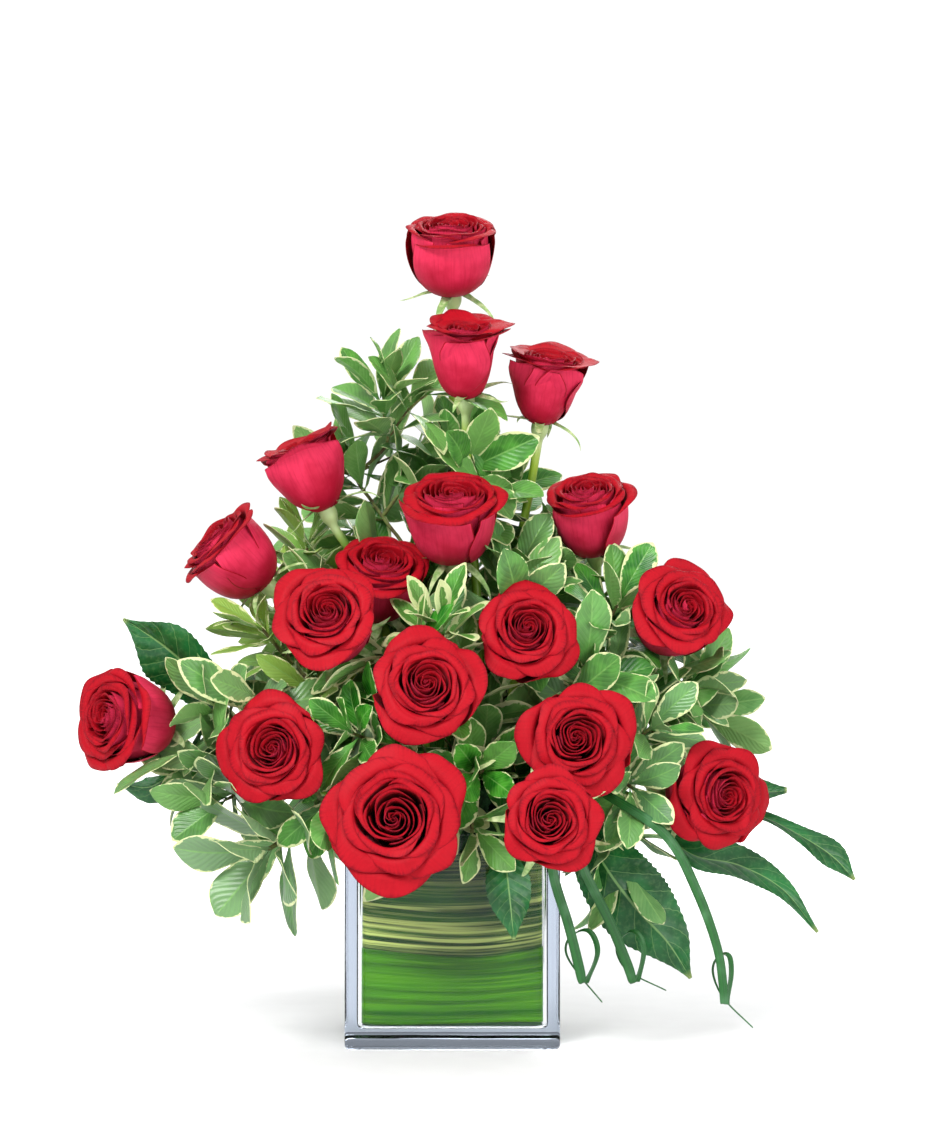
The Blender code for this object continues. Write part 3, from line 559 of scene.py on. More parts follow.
def petal_points(form, radius, height, order, turn, rng):
    """One petal as a grid of points about the axis, and its along and across values."""
    opened = form["open"]
    path_r, path_z, run, rim_radius = petal_path(form, radius, height, order, rng)
    share = run / run[-1]
    u = np.linspace(-1.0, 1.0, 13)
    pointed = form["pointed"] * smooth(0.45, 0.95, order)
    short = 1.0 - (0.05 + 0.11 * pointed) * np.abs(u) ** (2.2 - 0.9 * pointed)
    short *= 1.0 + rng.uniform(-0.03, 0.03) * u
    asked = share[:, None] * short[None, :] * run[-1]
    r = np.interp(asked, run, path_r)
    z = np.interp(asked, run, path_z)
    half = radius * (0.30 + (0.66 - 0.13 * opened) * order) * rng.uniform(0.90, 1.10)
    narrow = 0.30 + 0.70 * smooth(0.0, 0.55, share)[:, None]
    taper = 1.0 - (0.08 + 0.12 * pointed) * smooth(0.60, 1.0, share)[:, None]
    most = math.radians(165 - 60 * smooth(0.0, 0.35, order))
    angle = np.clip(half / np.maximum(r, radius * 0.02), 0, most) * narrow * taper * u[None, :]
    wind = radius * (0.030 + 0.008 * (1.0 - order)) * u[None, :]
    scroll = (0.30 * max(0.0, 1.0 - order / 0.4)) * rim_radius * u[None, :]
    wave = np.sin(u[None, :] * rng.uniform(3.5, 7.0) + rng.uniform(0, 6.28))
    ripple = np.sin(u[None, :] * rng.uniform(8.0, 12.0) + rng.uniform(0, 6.28))
    free = share[:, None] ** 3
    r = r * (1.0 + rng.uniform(-0.05, 0.04) * order * free)
    r = r + wind + scroll + radius * (0.020 * wave + 0.006 * ripple) * free
    heave = np.sin(u[None, :] * rng.uniform(3.0, 5.0) + rng.uniform(0, 6.28))
    z = z + height * (0.018 * heave + 0.006 * ripple) * free
    angle = angle + turn
    points = np.stack([r * np.cos(angle), r * np.sin(angle), z], axis=-1)
    back = np.cross(np.gradient(points, axis=1), np.gradient(points, axis=0))
    back /= np.maximum(np.linalg.norm(back, axis=-1, keepdims=True), 1e-12)
    roll = radius * (0.04 + 0.10 * pointed) * smooth(0.2, 0.9, order) * rng.uniform(0.6, 1.4)
    rolled = roll * smooth(0.40, 1.0, np.abs(u))[None, :] * smooth(0.45, 0.95, share)[:, None]
    points += back * rolled[..., None]
    crease = radius * 0.016 * pointed * np.exp(-((u / 0.16) ** 2))[None, :] * free
    points -= back * crease[..., None]
    return points, share[:, None], u[None, :] * 0.5 + 0.5


def bloom_frame(number):
    """The base, axis, radius and height of a bloom, read from its CAD node and its stem's."""
    bloom = np.array([v.co for v in NODES[f"rose_{number:02d}_bloom"].data.vertices])
    stem = np.array([v.co for v in NODES[f"rose_{number:02d}_stem"].data.vertices])
    gaps = np.linalg.norm(bloom[:, None, :] - stem[None, :, :], axis=-1).min(axis=1)
    base = bloom[gaps.argmin()]
    unique = np.unique(np.round(bloom, 6), axis=0)
    axis = unit(unique.mean(axis=0) - base)
    rise = (unique - base) @ axis
    out = np.linalg.norm(unique - base - rise[:, None] * axis, axis=1)
    return base, axis, out.max(), rise.max()


# How open a rose is, how pointed its petals, the bulge of its sides, how far its petals flare, how
# wide its foot, its size against the CAD bloom's, how far its outer petals fall, how many degrees
# a petal bends back, and the range of the flare from petal to petal.
FORM_KEYS = ("open", "pointed", "bulge", "flare", "foot", "grow", "fall", "bend", "spread")
FORM_ROWS = {
    "bowl": (0.20, 0.35, 1.16, 0.05, 0.96, 1.03, 0.16, 84, (0.0, 1.9)),
    "cup": (0.14, 1.00, 0.92, 0.20, 0.86, 0.98, 0.06, 52, (0.5, 1.9)),
    "goblet": (0.36, 0.50, 1.08, 0.06, 0.90, 1.0, 0.17, 80, (0.2, 1.9)),
    "half": (0.60, 0.50, 1.06, 0.0, 0.98, 1.0, 0.21, 86, (0.0, 1.0)),
    "wide": (0.86, 0.70, 1.04, 0.0, 0.98, 0.97, 0.24, 89, (0.0, 1.0)),
    "full": (0.91, 0.90, 1.04, 0.0, 0.98, 0.95, 0.25, 90, (0.0, 1.0)),
}
FORMS = {name: dict(zip(FORM_KEYS, row)) for name, row in FORM_ROWS.items()}
# Each rose's form, and the degrees that its first petal is turned by.
ROSES = {
    1: ("bowl", 20), 2: ("cup", 200), 3: ("cup", 100), 4: ("cup", 310),
    5: ("goblet", 60), 6: ("goblet", 140), 7: ("goblet", 250), 8: ("half", 30),
    9: ("wide", 10), 10: ("wide", 190), 11: ("wide", 80), 12: ("half", 270),
    13: ("wide", 45), 14: ("wide", 330), 15: ("full", 120), 16: ("full", 250),
    17: ("wide", 200), 18: ("full", 300),
}
BLOOMS = [bloom_frame(number) for number in ROSES]


def make_bloom(number, inner, outer):
    """A rose's petals, spiralling out and scaled to fill the CAD bloom."""
    base, axis, radius, height = bloom_frame(number)
    form_name, spin = ROSES[number]
    form = FORMS[form_name]
    rng = random.Random(BLOOM_SEED + number)
    turned = np.stack([*frame_of(axis), axis])
    lean = radius * 0.05 * np.array([math.cos(spin), math.sin(spin), 0.0])
    petals = []
    for i in range(PETALS):
        order = i / (PETALS - 1)
        turn = math.radians(spin) + GOLDEN * i + math.radians(rng.uniform(-8, 8))
        points, along, across = petal_points(form, radius, height, order, turn, rng)
        petals.append((points + lean * (1.0 - order), along, across))
    whole = np.concatenate([petal[0].reshape(-1, 3) for petal in petals])
    grow = form["grow"] * radius / np.percentile(np.hypot(whole[:, 0], whole[:, 1]), 98.5)
    rise = 1.02 * height / whole[:, 2].max()
    sheets = Sheets()
    for points, along, across in petals:
        points = points * np.array([grow, grow, rise])
        sheets.grid(base + points @ turned, along=along, across=across)
    bloom = sheets.build(f"rose_{number:02d}_petals", [inner, outer])
    solidify(bloom, PETAL_THICKNESS, 1)
    subdivide(bloom)
    settle(bloom, "rose_petal", f"rose_{number:02d}_bloom")


# ---- foliage ----


# Tolerances for reading leaves and twigs back from the CAD's sprigs and stems.
LEAST_PLATE = 1.4e-4  # square metres of one leaf face
PLATE_GAP = 6e-5  # between triangles that are in one plane
PLATE_REACH = 0.035  # between the middles of one plate's triangles
PAIR_GAP = 0.003  # between the feet of a leaf's two faces
WHORL_REACH = 0.016
OFF_PLATE = 0.0012
LEAF_FOOT = 0.004
TWIG_RING = 0.0042
STEM_RING = 0.0068


def welded(node):
    """A CAD node's points with doubles merged, and its triangles."""
    mesh = NODES[node].data
    points = np.array([v.co for v in mesh.vertices])
    _, first, index = np.unique(
        np.round(points, 6), axis=0, return_index=True, return_inverse=True
    )
    faces = np.array([tuple(p.vertices) for p in mesh.polygons])
    return points[first], index.reshape(-1)[faces]


def flat_parts(points, faces):
    """Groups of triangles in one plane and near each other, as (normal, corner points, area)."""
    corners = points[faces]
    normals = np.cross(corners[:, 1] - corners[:, 0], corners[:, 2] - corners[:, 0])
    sizes = np.linalg.norm(normals, axis=1)
    groups = []
    for i in np.argsort(-sizes):
        if sizes[i] < 1e-9:
            continue
        normal = normals[i] / sizes[i]
        middle = corners[i].mean(axis=0)
        for face, level, centre, members in groups:
            flat = face @ normal > 0.9995 and abs(level - face @ corners[i, 0]) < PLATE_GAP
            if flat and np.linalg.norm(centre - middle) < PLATE_REACH:
                members.append(i)
                break
        else:
            groups.append((normal, normal @ corners[i, 0], middle, [i]))
    return [
        (normal, corners[members].reshape(-1, 3), sizes[members].sum() / 2)
        for normal, _, _, members in groups
    ]


def leaf_plates(node):
    """Leaves as (base, way, face, length, width), read from the flat plates of a CAD sprig."""
    points, faces = welded(node)
    found = []
    for normal, corners, area in flat_parts(points, faces):
        if area < LEAST_PLATE:
            continue
        gaps = np.linalg.norm(corners[:, None] - corners[None], axis=-1)
        first, last = np.unravel_index(gaps.argmax(), gaps.shape)
        start, end = corners[first], corners[last]
        length = gaps.max()
        way = (end - start) / length
        run = (corners - start) @ way
        out = np.linalg.norm(corners - start - run[:, None] * way, axis=1)
        widest = run[out > out.max() * 0.97].mean()
        if widest < length * 0.5:
            start, end, way = end, start, -way
        if not any(np.linalg.norm(f[0] - start) < PAIR_GAP and f[1] @ way > 0.98 for f in found):
            found.append([start, way, normal, length, out.max() * 2])
    starts = np.array([f[0] for f in found])
    ways = np.array([f[1] for f in found])
    for leaf in found:
        near = np.linalg.norm(starts - leaf[0], axis=1) < WHORL_REACH
        if leaf[2] @ ways[near].sum(axis=0) < 0:
            leaf[2] = -leaf[2]
    return found, points


def twig_points(points, leaves):
    """Centres of the twig's rings: what is left of a sprig's points away from its leaves."""
    keep = np.ones(len(points), bool)
    for start, way, normal, _, width in leaves:
        near = points - start
        run = near @ way
        off = near @ normal
        wide = np.linalg.norm(near - run[:, None] * way - off[:, None] * normal, axis=1)
        keep &= ~((np.abs(off) < OFF_PLATE) & (run > LEAF_FOOT) & (wide < width * 0.6))
    return ring_centres(points[keep], TWIG_RING)


def twig_paths(centres):
    """Chains of ring centres from the foot outwards, found as a shortest tree."""
    foot = int(np.hypot(centres[:, 0], centres[:, 1]).argmin())
    lowest = int(centres[:, 2].argmin())
    if centres[lowest, 2] < centres[foot, 2] - 0.001:
        foot = lowest
    parent = {foot: None}
    while len(parent) < len(centres):
        inside = np.array(sorted(parent))
        outside = np.array([i for i in range(len(centres)) if i not in parent])
        gaps = np.linalg.norm(centres[outside][:, None] - centres[inside][None], axis=-1)
        near, seat = np.unravel_index(gaps.argmin(), gaps.shape)
        parent[int(outside[near])] = int(inside[seat])
    ends = [i for i in parent if i not in parent.values()]
    paths = []
    used = set()
    for end in sorted(ends, key=lambda i: -np.linalg.norm(centres[i] - centres[foot])):
        path = [end]
        while parent[path[-1]] is not None:
            path.append(parent[path[-1]])
            if path[-1] in used:
                break
        used.update(path)
        paths.append(centres[path[::-1]])
    return paths


def resampled(points, count):
    """A smooth curve through points, evenly spaced (Catmull-Rom). Values past z go along."""
    points = np.asarray(points, float)
    if len(points) < 3:
        return np.linspace(points[0], points[-1], count)
    ends = np.vstack([2 * points[0] - points[1], points, 2 * points[-1] - points[-2]])
    ends[0, 3:], ends[-1, 3:] = points[0, 3:], points[-1, 3:]
    t = np.linspace(0.0, 1.0, 9)[:-1, None]
    dense = []
    for p0, p1, p2, p3 in zip(ends, ends[1:], ends[2:], ends[3:]):
        curve = 2 * p1 + (p2 - p0) * t + (2 * p0 - 5 * p1 + 4 * p2 - p3) * t**2
        dense.append(0.5 * (curve + (3 * p1 - p0 - 3 * p2 + p3) * t**3))
    dense = np.vstack([*dense, points[-1:]])
    steps = np.linalg.norm(np.diff(dense[:, :3], axis=0), axis=1)
    run = np.concatenate([[0.0], np.cumsum(steps)])
    asked = np.linspace(0.0, run[-1], count)
    return np.stack([np.interp(asked, run, values) for values in dense.T], axis=-1)


def tube(sheets, points, radii, sides=8, **values):
    """A round bar with closed ends along the points."""
    ways = np.gradient(points, axis=0)
    side, _ = frame_of(ways[0])
    turns = np.linspace(0.0, math.tau, sides, endpoint=False)
    rings = []
    for point, way, radius in zip(points, ways, radii):
        way = unit(way)
        side = unit(side - way * (side @ way))
        other = np.cross(way, side)
        ring = np.cos(turns)[:, None] * side + np.sin(turns)[:, None] * other
        rings.append(point + radius * ring)
    first = points[0] + (rings[0] - points[0]) * 0.05
    last = points[-1] + (rings[-1] - points[-1]) * 0.05
    grid = np.stack([first, *rings, last])
    start = sheets.count
    along = np.linspace(0.0, 1.0, len(grid))[:, None]
    sheets.grid(grid, closed=True, along=along, across=turns[None, :] / math.tau, **values)
    sheets.face(range(start, start + sides))
    sheets.face(range(sheets.count - 1, sheets.count - sides - 1, -1))


def leaf_grid(sheets, leaf, rng, size, slender, **values):
    """One obovate leaf, folded along its midrib and bent back, on a short stalk."""
    base, way, face, length, width = leaf
    length = length * size
    width = width * size * slender * rng.uniform(0.82, 1.04)
    across = np.cross(way, face)
    along = np.array([0.0, 0.06, 0.14, 0.24, 0.36, 0.48, 0.60, 0.72, 0.83, 0.92, 0.975, 1.0])
    u = np.array([-1.0, -0.78, -0.45, -0.14, 0.0, 0.14, 0.45, 0.78, 1.0])
    body = np.clip((along - 0.06) / 0.94, 0.0, 1.0)
    blunt = rng.uniform(2.3, 3.4)
    outline = body**0.95 * (1.0 - body**blunt) ** 0.85
    outline /= outline.max()
    half = np.maximum(width / 2 * outline, length * 0.010)
    half[-1] = length * 0.006
    droop = math.radians(rng.uniform(-8, 42))
    twist = math.radians(rng.uniform(-16, 16))
    angles = droop * along**1.5 - droop * 0.30
    steps = np.diff(along, prepend=0.0) * length
    run = np.cumsum(steps * np.cos(angles))
    drop = np.cumsum(steps * np.sin(angles))
    fold = rng.uniform(0.16, 0.48)
    turned = twist * along
    lateral = np.outer(half, u)
    lift = fold * np.abs(lateral) * (1.0 - 0.35 * np.abs(u)[None, :])
    wave = 0.055 * width * np.sin(along * rng.uniform(9, 15) + rng.uniform(0, 6))[:, None]
    lift = lift + wave * np.abs(u)[None, :] ** 3 * np.sign(u)[None, :] * outline[:, None]
    cos, sin = np.cos(turned)[:, None], np.sin(turned)[:, None]
    lateral, lift = lateral * cos - lift * sin, lateral * sin + lift * cos
    points = (
        base
        + run[:, None, None] * way
        + (lift - drop[:, None])[..., None] * face
        + lateral[..., None] * across
    )
    edge = (1.0 - np.abs(u))[None, :] * half[:, None] / 0.009
    edge = np.minimum(edge, ((1.0 - along) * length / 0.010)[:, None])
    edge[:2] = 1.0
    values = {**values, "edge": edge, "seed": rng.random()}
    sheets.grid(points, along=along[:, None], across=(u * 0.5 + 0.5)[None, :], **values)


def hides_bloom(points):
    """True where points stand in front of a bloom's head or of its foot."""
    for base, axis, radius, height in BLOOMS:
        for rise, share in ((0.60, 0.92), (0.10, 0.62)):
            middle = base + axis * height * rise
            gap = np.hypot(points[:, 0] - middle[0], points[:, 2] - middle[2])
            if ((gap < radius * share) & (points[:, 1] < middle[1])).any():
                return True
    return False


# How many degrees a whorl's leaves stand off their twig.
CROWN_ANGLE, TIP_ANGLE, SIDE_ANGLE = 30, 38, 62
CLEAR_OF_GLASS = 0.002
PAST_BOX = 0.004  # how far a leaf's tip may stand past the CAD's box


def in_the_way(points):
    """True where points are inside a bloom, in front of one, in the vase or out of the box."""
    if hides_bloom(points):
        return True
    for base, axis, radius, height in BLOOMS:
        near = points - base
        rise = near @ axis
        out = np.linalg.norm(near - rise[:, None] * axis, axis=1)
        wide = radius * (0.30 + 0.80 * np.clip(rise / height * 1.5, 0.0, 1.0))
        if ((rise > -0.003) & (rise < height * 1.05) & (out < wide)).any():
            return True
    inside = (np.abs(points[:, :2]) < VASE_HALF + CLEAR_OF_GLASS).all(axis=1)
    inside &= points[:, 2] < RIM + CLEAR_OF_GLASS
    lowest, highest = np.array(CAD_BOX[0]) - PAST_BOX, np.array(CAD_BOX[1]) + PAST_BOX
    return bool(inside.any() or (points < lowest).any() or (points > highest).any())


def whorl(seat, way, count, off, start, size, rng):
    """Leaves round a twig, each leaving it at about the angle off."""
    side, other = frame_of(way)
    for i in range(count):
        turn = start + math.tau * i / count + rng.uniform(-0.3, 0.3)
        tilt = math.radians(off + rng.uniform(-12, 12))
        out = math.cos(turn) * side + math.sin(turn) * other
        ahead = way * math.cos(tilt) + out * math.sin(tilt)
        face = way * math.sin(tilt) - out * math.cos(tilt)
        length = LEAF_LENGTH * size * rng.uniform(0.85, 1.1)
        yield [seat, ahead, face, length, length * LEAF_WIDTH]


def along_leaf(leaf):
    """Three points down the middle of a leaf."""
    base, way, _, length, _ = leaf
    return base + np.outer(np.array([0.25, 0.6, 1.0]) * length, way)


def filling(paths, size, gap, crown, rng):
    """More leaves down the twigs, and on short side twigs, wherever they clear the blooms."""
    leaves = []
    twigs = []

    def add_whorl(seat, way, count, off, share=1.0):
        leaves.extend(whorl(seat, way, count, off, rng.uniform(0, 6.28), size * share, rng))

    for path in paths:
        length = length_of(path)
        line = resampled(path, max(8, int(length / 0.004)))
        if crown:
            add_whorl(line[-1], unit(line[-1] - line[-3]), crown, CROWN_ANGLE, 0.8)
        spare = rng.uniform(0.026, 0.032)
        while spare < length:
            place = int((1.0 - spare / length) * (len(line) - 1))
            seat = line[place]
            if seat[2] < RIM + 0.004:
                break
            way = unit(line[min(place + 1, len(line) - 1)] - line[max(place - 1, 0)])
            add_whorl(seat, way, rng.randint(2, 3), SIDE_ANGLE)
            side, other = frame_of(way)
            turn = rng.uniform(0, math.tau)
            out = math.cos(turn) * side + math.sin(turn) * other
            reach = rng.uniform(*SIDE_TWIG_LENGTHS)
            heading = unit(way * 0.6 + out)
            middle, tip = seat + heading * reach * 0.5, seat + heading * reach
            if not in_the_way(np.stack([middle, tip])):
                bent = middle + way * 0.003
                twigs.append(resampled([seat, bent, tip], 6))
                add_whorl(tip, unit(tip - bent), 5, TIP_ANGLE)
                add_whorl(bent, heading, 3, SIDE_ANGLE + 2)
            spare += rng.uniform(0.020, 0.028) * gap
    return [leaf for leaf in leaves if not in_the_way(along_leaf(leaf))], twigs


# How each sprig differs: leaf size, leaf width, share of young green and of cream, the gap
# between its whorls, the small leaves that crown its tips, and share of grey-green, partly the
# leaves' own tone and partly a painted sheen of light on their gloss.
STYLES = {
    "sprig_top_left": (1.12, 0.98, 0.12, 0.0, 1.5, 3, 0.15),
    "sprig_top_middle": (1.10, 1.0, 0.05, 0.0, 1.3, 0, 0.10),
    "sprig_upper_left": (1.0, 0.70, 0.60, 0.0, 1.0, 3, 0.00),
    "sprig_left": (1.10, 1.05, 0.15, 0.03, 1.1, 0, 0.35),
    "sprig_middle_pale": (1.10, 0.85, 0.15, 0.45, 1.0, 3, 0.10),
    "sprig_middle_right": (1.12, 1.0, 0.10, 0.0, 1.1, 0, 0.25),
    "sprig_lower_left": (1.18, 1.10, 0.05, 0.10, 1.1, 0, 0.65),
    "sprig_lower_middle": (1.08, 0.95, 0.0, 0.0, 1.1, 0, 0.00),
    "sprig_lower_right": (1.08, 0.95, 0.0, 0.03, 1.1, 0, 0.30),
    "sprig_right": (1.05, 0.95, 0.05, 0.08, 1.1, 0, 0.40),
    "sprig_upper_right": (1.12, 1.05, 0.0, 0.0, 1.1, 0, 0.10),
    "sprig_front_rim": (1.25, 1.0, 0.1, 0.10, 1.0, 0, 0.10),
    "sprig_back_left": (1.05, 1.0, 0.1, 0.0, 1.0, 0, 0.15),
    "sprig_back_right": (1.05, 1.0, 0.05, 0.0, 1.0, 0, 0.15),
}
# The sprigs whose CAD leaves are left out where they hide a bloom.
TALL_SPRIGS = ("sprig_top_left", "sprig_top_middle", "sprig_middle_right")


def make_sprig(node, top, under, wood, seed):
    """A sprig's leaves as one piece, where the CAD's are and more, and its twigs as another."""
    rng = random.Random(seed)
    size, slender, young, creamy, gap, crown, grey_tone_and_sheen = STYLES[node]
    leaves, points = leaf_plates(node)
    paths = twig_paths(twig_points(points, leaves))
    more, side_twigs = filling(paths, size, gap, crown, rng)
    if node in TALL_SPRIGS:
        leaves = [leaf for leaf in leaves if not hides_bloom(along_leaf(leaf))]
    sheets = Sheets()
    for leaf in leaves + more:
        share = rng.uniform(0.4, 1.6)
        tints = {"young": young * share, "creamy": creamy * share, "grey_tone_and_sheen": grey_tone_and_sheen * share}
        leaf_grid(sheets, leaf, rng, size, slender, **tints)
    blades = sheets.build(node.replace("sprig_", "leaves_"), [top, under])
    solidify(blades, LEAF_THICKNESS, 1)
    subdivide(blades)
    settle(blades, "variegated_foliage", node)
    sheets = Sheets()
    for path in paths:
        count = max(6, int(np.linalg.norm(path[-1] - path[0]) / 0.008))
        tube(sheets, resampled(path, count), np.linspace(*TWIG_RADII, count))
    for line in side_twigs:
        tube(sheets, line, np.linspace(*SIDE_TWIG_RADII, len(line)), sides=6)
    twigs = sheets.build(node.replace("sprig_", "twigs_"), [wood])
    subdivide(twigs)
    settle(twigs, "variegated_foliage", node)


# ---- stems, calyxes and sepals ----


def sepal(sheets, base, axis, turn, rng):
    """A narrow sepal that leaves the calyx, bends back and curls at its thread of a tip."""
    side, other = frame_of(axis)
    out = math.cos(turn) * side + math.sin(turn) * other
    across = np.cross(axis, out)
    length = rng.uniform(*SEPAL_LENGTHS)
    width = rng.uniform(*SEPAL_WIDTHS)
    rows = np.linspace(0.0, 1.0, 12)
    start = math.radians(rng.uniform(70, 105))
    bend = math.radians(rng.uniform(0, 50))
    curl = math.radians(rng.uniform(-150, -30)) if rng.random() < 0.6 else math.radians(60)
    angles = start + bend * rows + curl * np.maximum(0.0, rows - 0.6) ** 1.5 * 2.0
    steps = np.diff(rows, prepend=0.0) * length
    run = SEPAL_RING * 0.80 + np.cumsum(steps * np.sin(angles))
    rise = np.cumsum(steps * np.cos(angles))
    drift = 0.10 * length * rows**2 * rng.uniform(-1.5, 1.5)
    half = width / 2 * (1.0 - rows) ** 0.75 * (1.0 + 0.10 * np.sin(rows * 17.0)) + 0.00018
    u = np.array([-1.0, -0.5, 0.0, 0.5, 1.0])
    cup = 0.35 * half[:, None] * np.abs(u)[None, :]
    normal = -np.cos(angles)[:, None] * out + np.sin(angles)[:, None] * axis
    points = (
        base
        + run[:, None, None] * out
        + rise[:, None, None] * axis
        + (half[:, None] * u[None, :] + drift[:, None])[..., None] * across
        + cup[..., None] * normal[:, None, :]
    )
    rng.random()  # keeps the draws in step
    sheets.grid(points, 1, along=rows[:, None], across=(u * 0.5 + 0.5)[None, :])


# The calyx, as heights on the bloom's axis above its base, and radii.
CALYX = (
    (-0.0105, 0.0031), (-0.0085, 0.0042), (-0.0060, 0.0056), (-0.0030, 0.0060),
    (0.0000, 0.0056), (0.0025, 0.0062), (0.0042, 0.0070),
)


def make_stalk(number, green, sepal_green):
    """A rose's stem, calyx and sepals, on the route of the CAD stem."""
    rng = random.Random(STALK_SEED + number)
    node = f"rose_{number:02d}_stem"
    base, axis, _, _ = bloom_frame(number)
    points, _ = welded(node)
    below = points[(points - base) @ axis < -SHEATH]
    centres = ring_centres(below, STEM_RING)
    left = list(np.argsort(np.linalg.norm(centres - base, axis=1)))
    chain = [base - axis * 0.0125]
    while left:
        near = min(left, key=lambda i: np.linalg.norm(centres[i] - chain[-1]))
        chain.append(centres[near])
        left.remove(near)
    path = np.array(chain[::-1])
    length = length_of(path)
    line = resampled(path, max(12, int(length / 0.007)))
    ripple = 1.0 + 0.03 * np.sin(np.linspace(0.0, length * 190.0, len(line)))
    tops = np.array([base + axis * rise for rise, _ in CALYX])
    radii = np.concatenate([STEM_RADIUS * ripple, [radius for _, radius in CALYX]])
    pale = np.concatenate([np.zeros(len(line) - 1), [0.3], np.ones(len(tops) + 2)])
    sheets = Sheets()
    tube(sheets, np.vstack([line, tops]), radii, sides=10, pale=pale[:, None])
    for i in range(SEPALS):
        turn = math.tau * i / SEPALS + rng.uniform(-0.25, 0.25)
        sepal(sheets, base + axis * 0.001, axis, turn, rng)
    stalk = sheets.build(f"rose_{number:02d}_stalk", [green, sepal_green])
    subdivide(stalk)
    settle(stalk, "rose_stem", node)


# ---- vase, its leaf lining and the foam ----


def square_ring(half, corner, height, turns=6):
    """Points round a square with rounded corners, and one close beside each end of a corner."""
    corner = max(corner, 0.0003)
    slack = min(0.0018, (half - corner) * 0.4)
    points = []
    for quarter in range(4):
        middle = math.pi / 2 * quarter + math.pi / 4
        signs = [math.copysign(1.0, math.cos(middle)), math.copysign(1.0, math.sin(middle))]
        seat = (half - corner) * np.array(signs)
        first, last = middle - math.pi / 4, middle + math.pi / 4
        for angle in np.linspace(first, last, turns + 1):
            points.append(seat + corner * np.array([math.cos(angle), math.sin(angle)]))
        ahead = np.array([-math.sin(last), math.cos(last)])
        behind = np.array([math.sin(first), -math.cos(first)])
        here = len(points) - turns - 1
        points.insert(here, points[here] + behind * slack)
        points.append(points[-1] + ahead * slack)
    flat = np.array(points)
    return np.column_stack([flat, np.full(len(flat), height)])


def make_vase(finish):
    """The glass cube, in one skin from under its base, over its rim and down to its floor."""
    half, edge, lip, corner = VASE_HALF, GLASS_EDGE, GLASS_LIP, GLASS_CORNER
    inside = LINER_HALF + LINER_GAP
    well = inside - edge
    base = VASE_BASE + edge
    quarter = [(math.sin(a), math.cos(a)) for a in np.linspace(0.0, math.pi / 2, 5)]
    rings = [
        *(((half - edge) * share, 0.0, 0.0) for share in (0.02, 0.5, 0.97)),
        *((half - edge + edge * s, edge * s, edge - edge * c) for s, c in quarter),
        (half, edge, RIM - edge - 0.001),
        *((half - edge + edge * c, edge * c + 0.0004, RIM - edge + edge * s) for s, c in quarter),
        *(
            (inside + lip - lip * s, corner * (0.6 + 0.4 * s), RIM - lip + lip * c)
            for s, c in quarter
        ),
        (inside, corner, base + 0.001),
        *((well + edge * c, corner - edge + edge * c, base - edge * s) for s, c in quarter),
        *((well * share, corner * share * 0.5, VASE_BASE) for share in (0.97, 0.5, 0.02)),
    ]
    grid = np.stack([square_ring(*ring) for ring in rings])
    sheets = Sheets()
    sheets.grid(grid, closed=True)
    sides = grid.shape[1]
    sheets.face(range(sides - 1, -1, -1))
    sheets.face(range(sheets.count - sides, sheets.count))
    vase = sheets.build("glass_cube_vase", [finish])
    vase.visible_shadow = False
    settle(vase, "clear_glass", "glass_vase")


def make_liner(name, node, slot, finish, half, low, high, seed):
    """A long leaf wrapped round inside the glass, gently cockled, with wavy edges."""
    rng = random.Random(seed)
    ring = square_ring(half, LINER_CORNER, 0.0)
    dense = []
    for start, end in zip(ring, np.roll(ring, -1, axis=0)):
        count = max(1, int(np.linalg.norm(end - start) / 0.006))
        dense.extend(start + (end - start) * k / count for k in range(count))
    ring = np.array(dense)
    run = np.linalg.norm(np.roll(ring, -1, axis=0) - ring, axis=1).cumsum()
    turn = run / run[-1] * math.tau
    bottom, top = low(ring, turn), high(ring, turn)
    rows = np.linspace(0.0, 1.0, 22)
    waves = [(rng.randint(2, 7), rng.uniform(0, 6.28), rng.uniform(2, 9)) for _ in range(5)]
    grid = np.zeros((len(rows), len(ring), 3))
    for i, row in enumerate(rows):
        cockle = sum(np.sin(k * turn + phase + lift * row) for k, phase, lift in waves)
        inset = 1.0 - (0.00010 + 0.00008 * (cockle / len(waves))) / half
        grid[i, :, :2] = ring[:, :2] * inset[:, None]
        grid[i, :, 2] = bottom + (top - bottom) * row
    sheets = Sheets()
    sheets.grid(grid, closed=True, along=rows[:, None], across=turn[None, :] / math.tau)
    liner = sheets.build(name, [finish])
    solidify(liner, LINER_THICKNESS, offset=-1.0)
    settle(liner, slot, node)


def sagging(level, sag, seed):
    """An edge at a level that sags between the vase's corners, a little uneven."""
    phase = random.Random(seed).uniform(0, 6.28)

    def edge(ring, turn):
        corner = np.abs(ring[:, :2]).min(axis=1) / LINER_HALF
        return level + sag * (corner**2 - 0.4) + 0.0006 * np.sin(5 * turn + phase)

    return edge


# ---- grass and broad leaves ----


def blade_rows(stations, per_metre):
    """Evenly spaced (centres, half widths, across vectors) along smooth stations."""
    values = np.array([(*place, half, *across) for place, half, across in stations], float)
    rows = resampled(values, max(16, int(length_of(values[:, :3]) * per_metre)))
    centres, halves, sides = rows[:, :3], rows[:, 3], rows[:, 4:]
    ways = np.gradient(centres, axis=0)
    ways /= np.linalg.norm(ways, axis=1, keepdims=True)
    sides = sides - (sides * ways).sum(axis=1, keepdims=True) * ways
    sides /= np.linalg.norm(sides, axis=1, keepdims=True)
    return centres, halves, sides, np.cross(sides, ways)


def above(stations):
    """Stations given from the vase's rim, as points of the model."""
    return [((x, y, z + RIM), half, across) for (x, y, z), half, across in stations]


def nearest_foot(node):
    """The CAD point nearest the vase's axis, inside the foam."""
    points, _ = welded(node)
    return points[np.hypot(points[:, 0], points[:, 1]).argmin()]


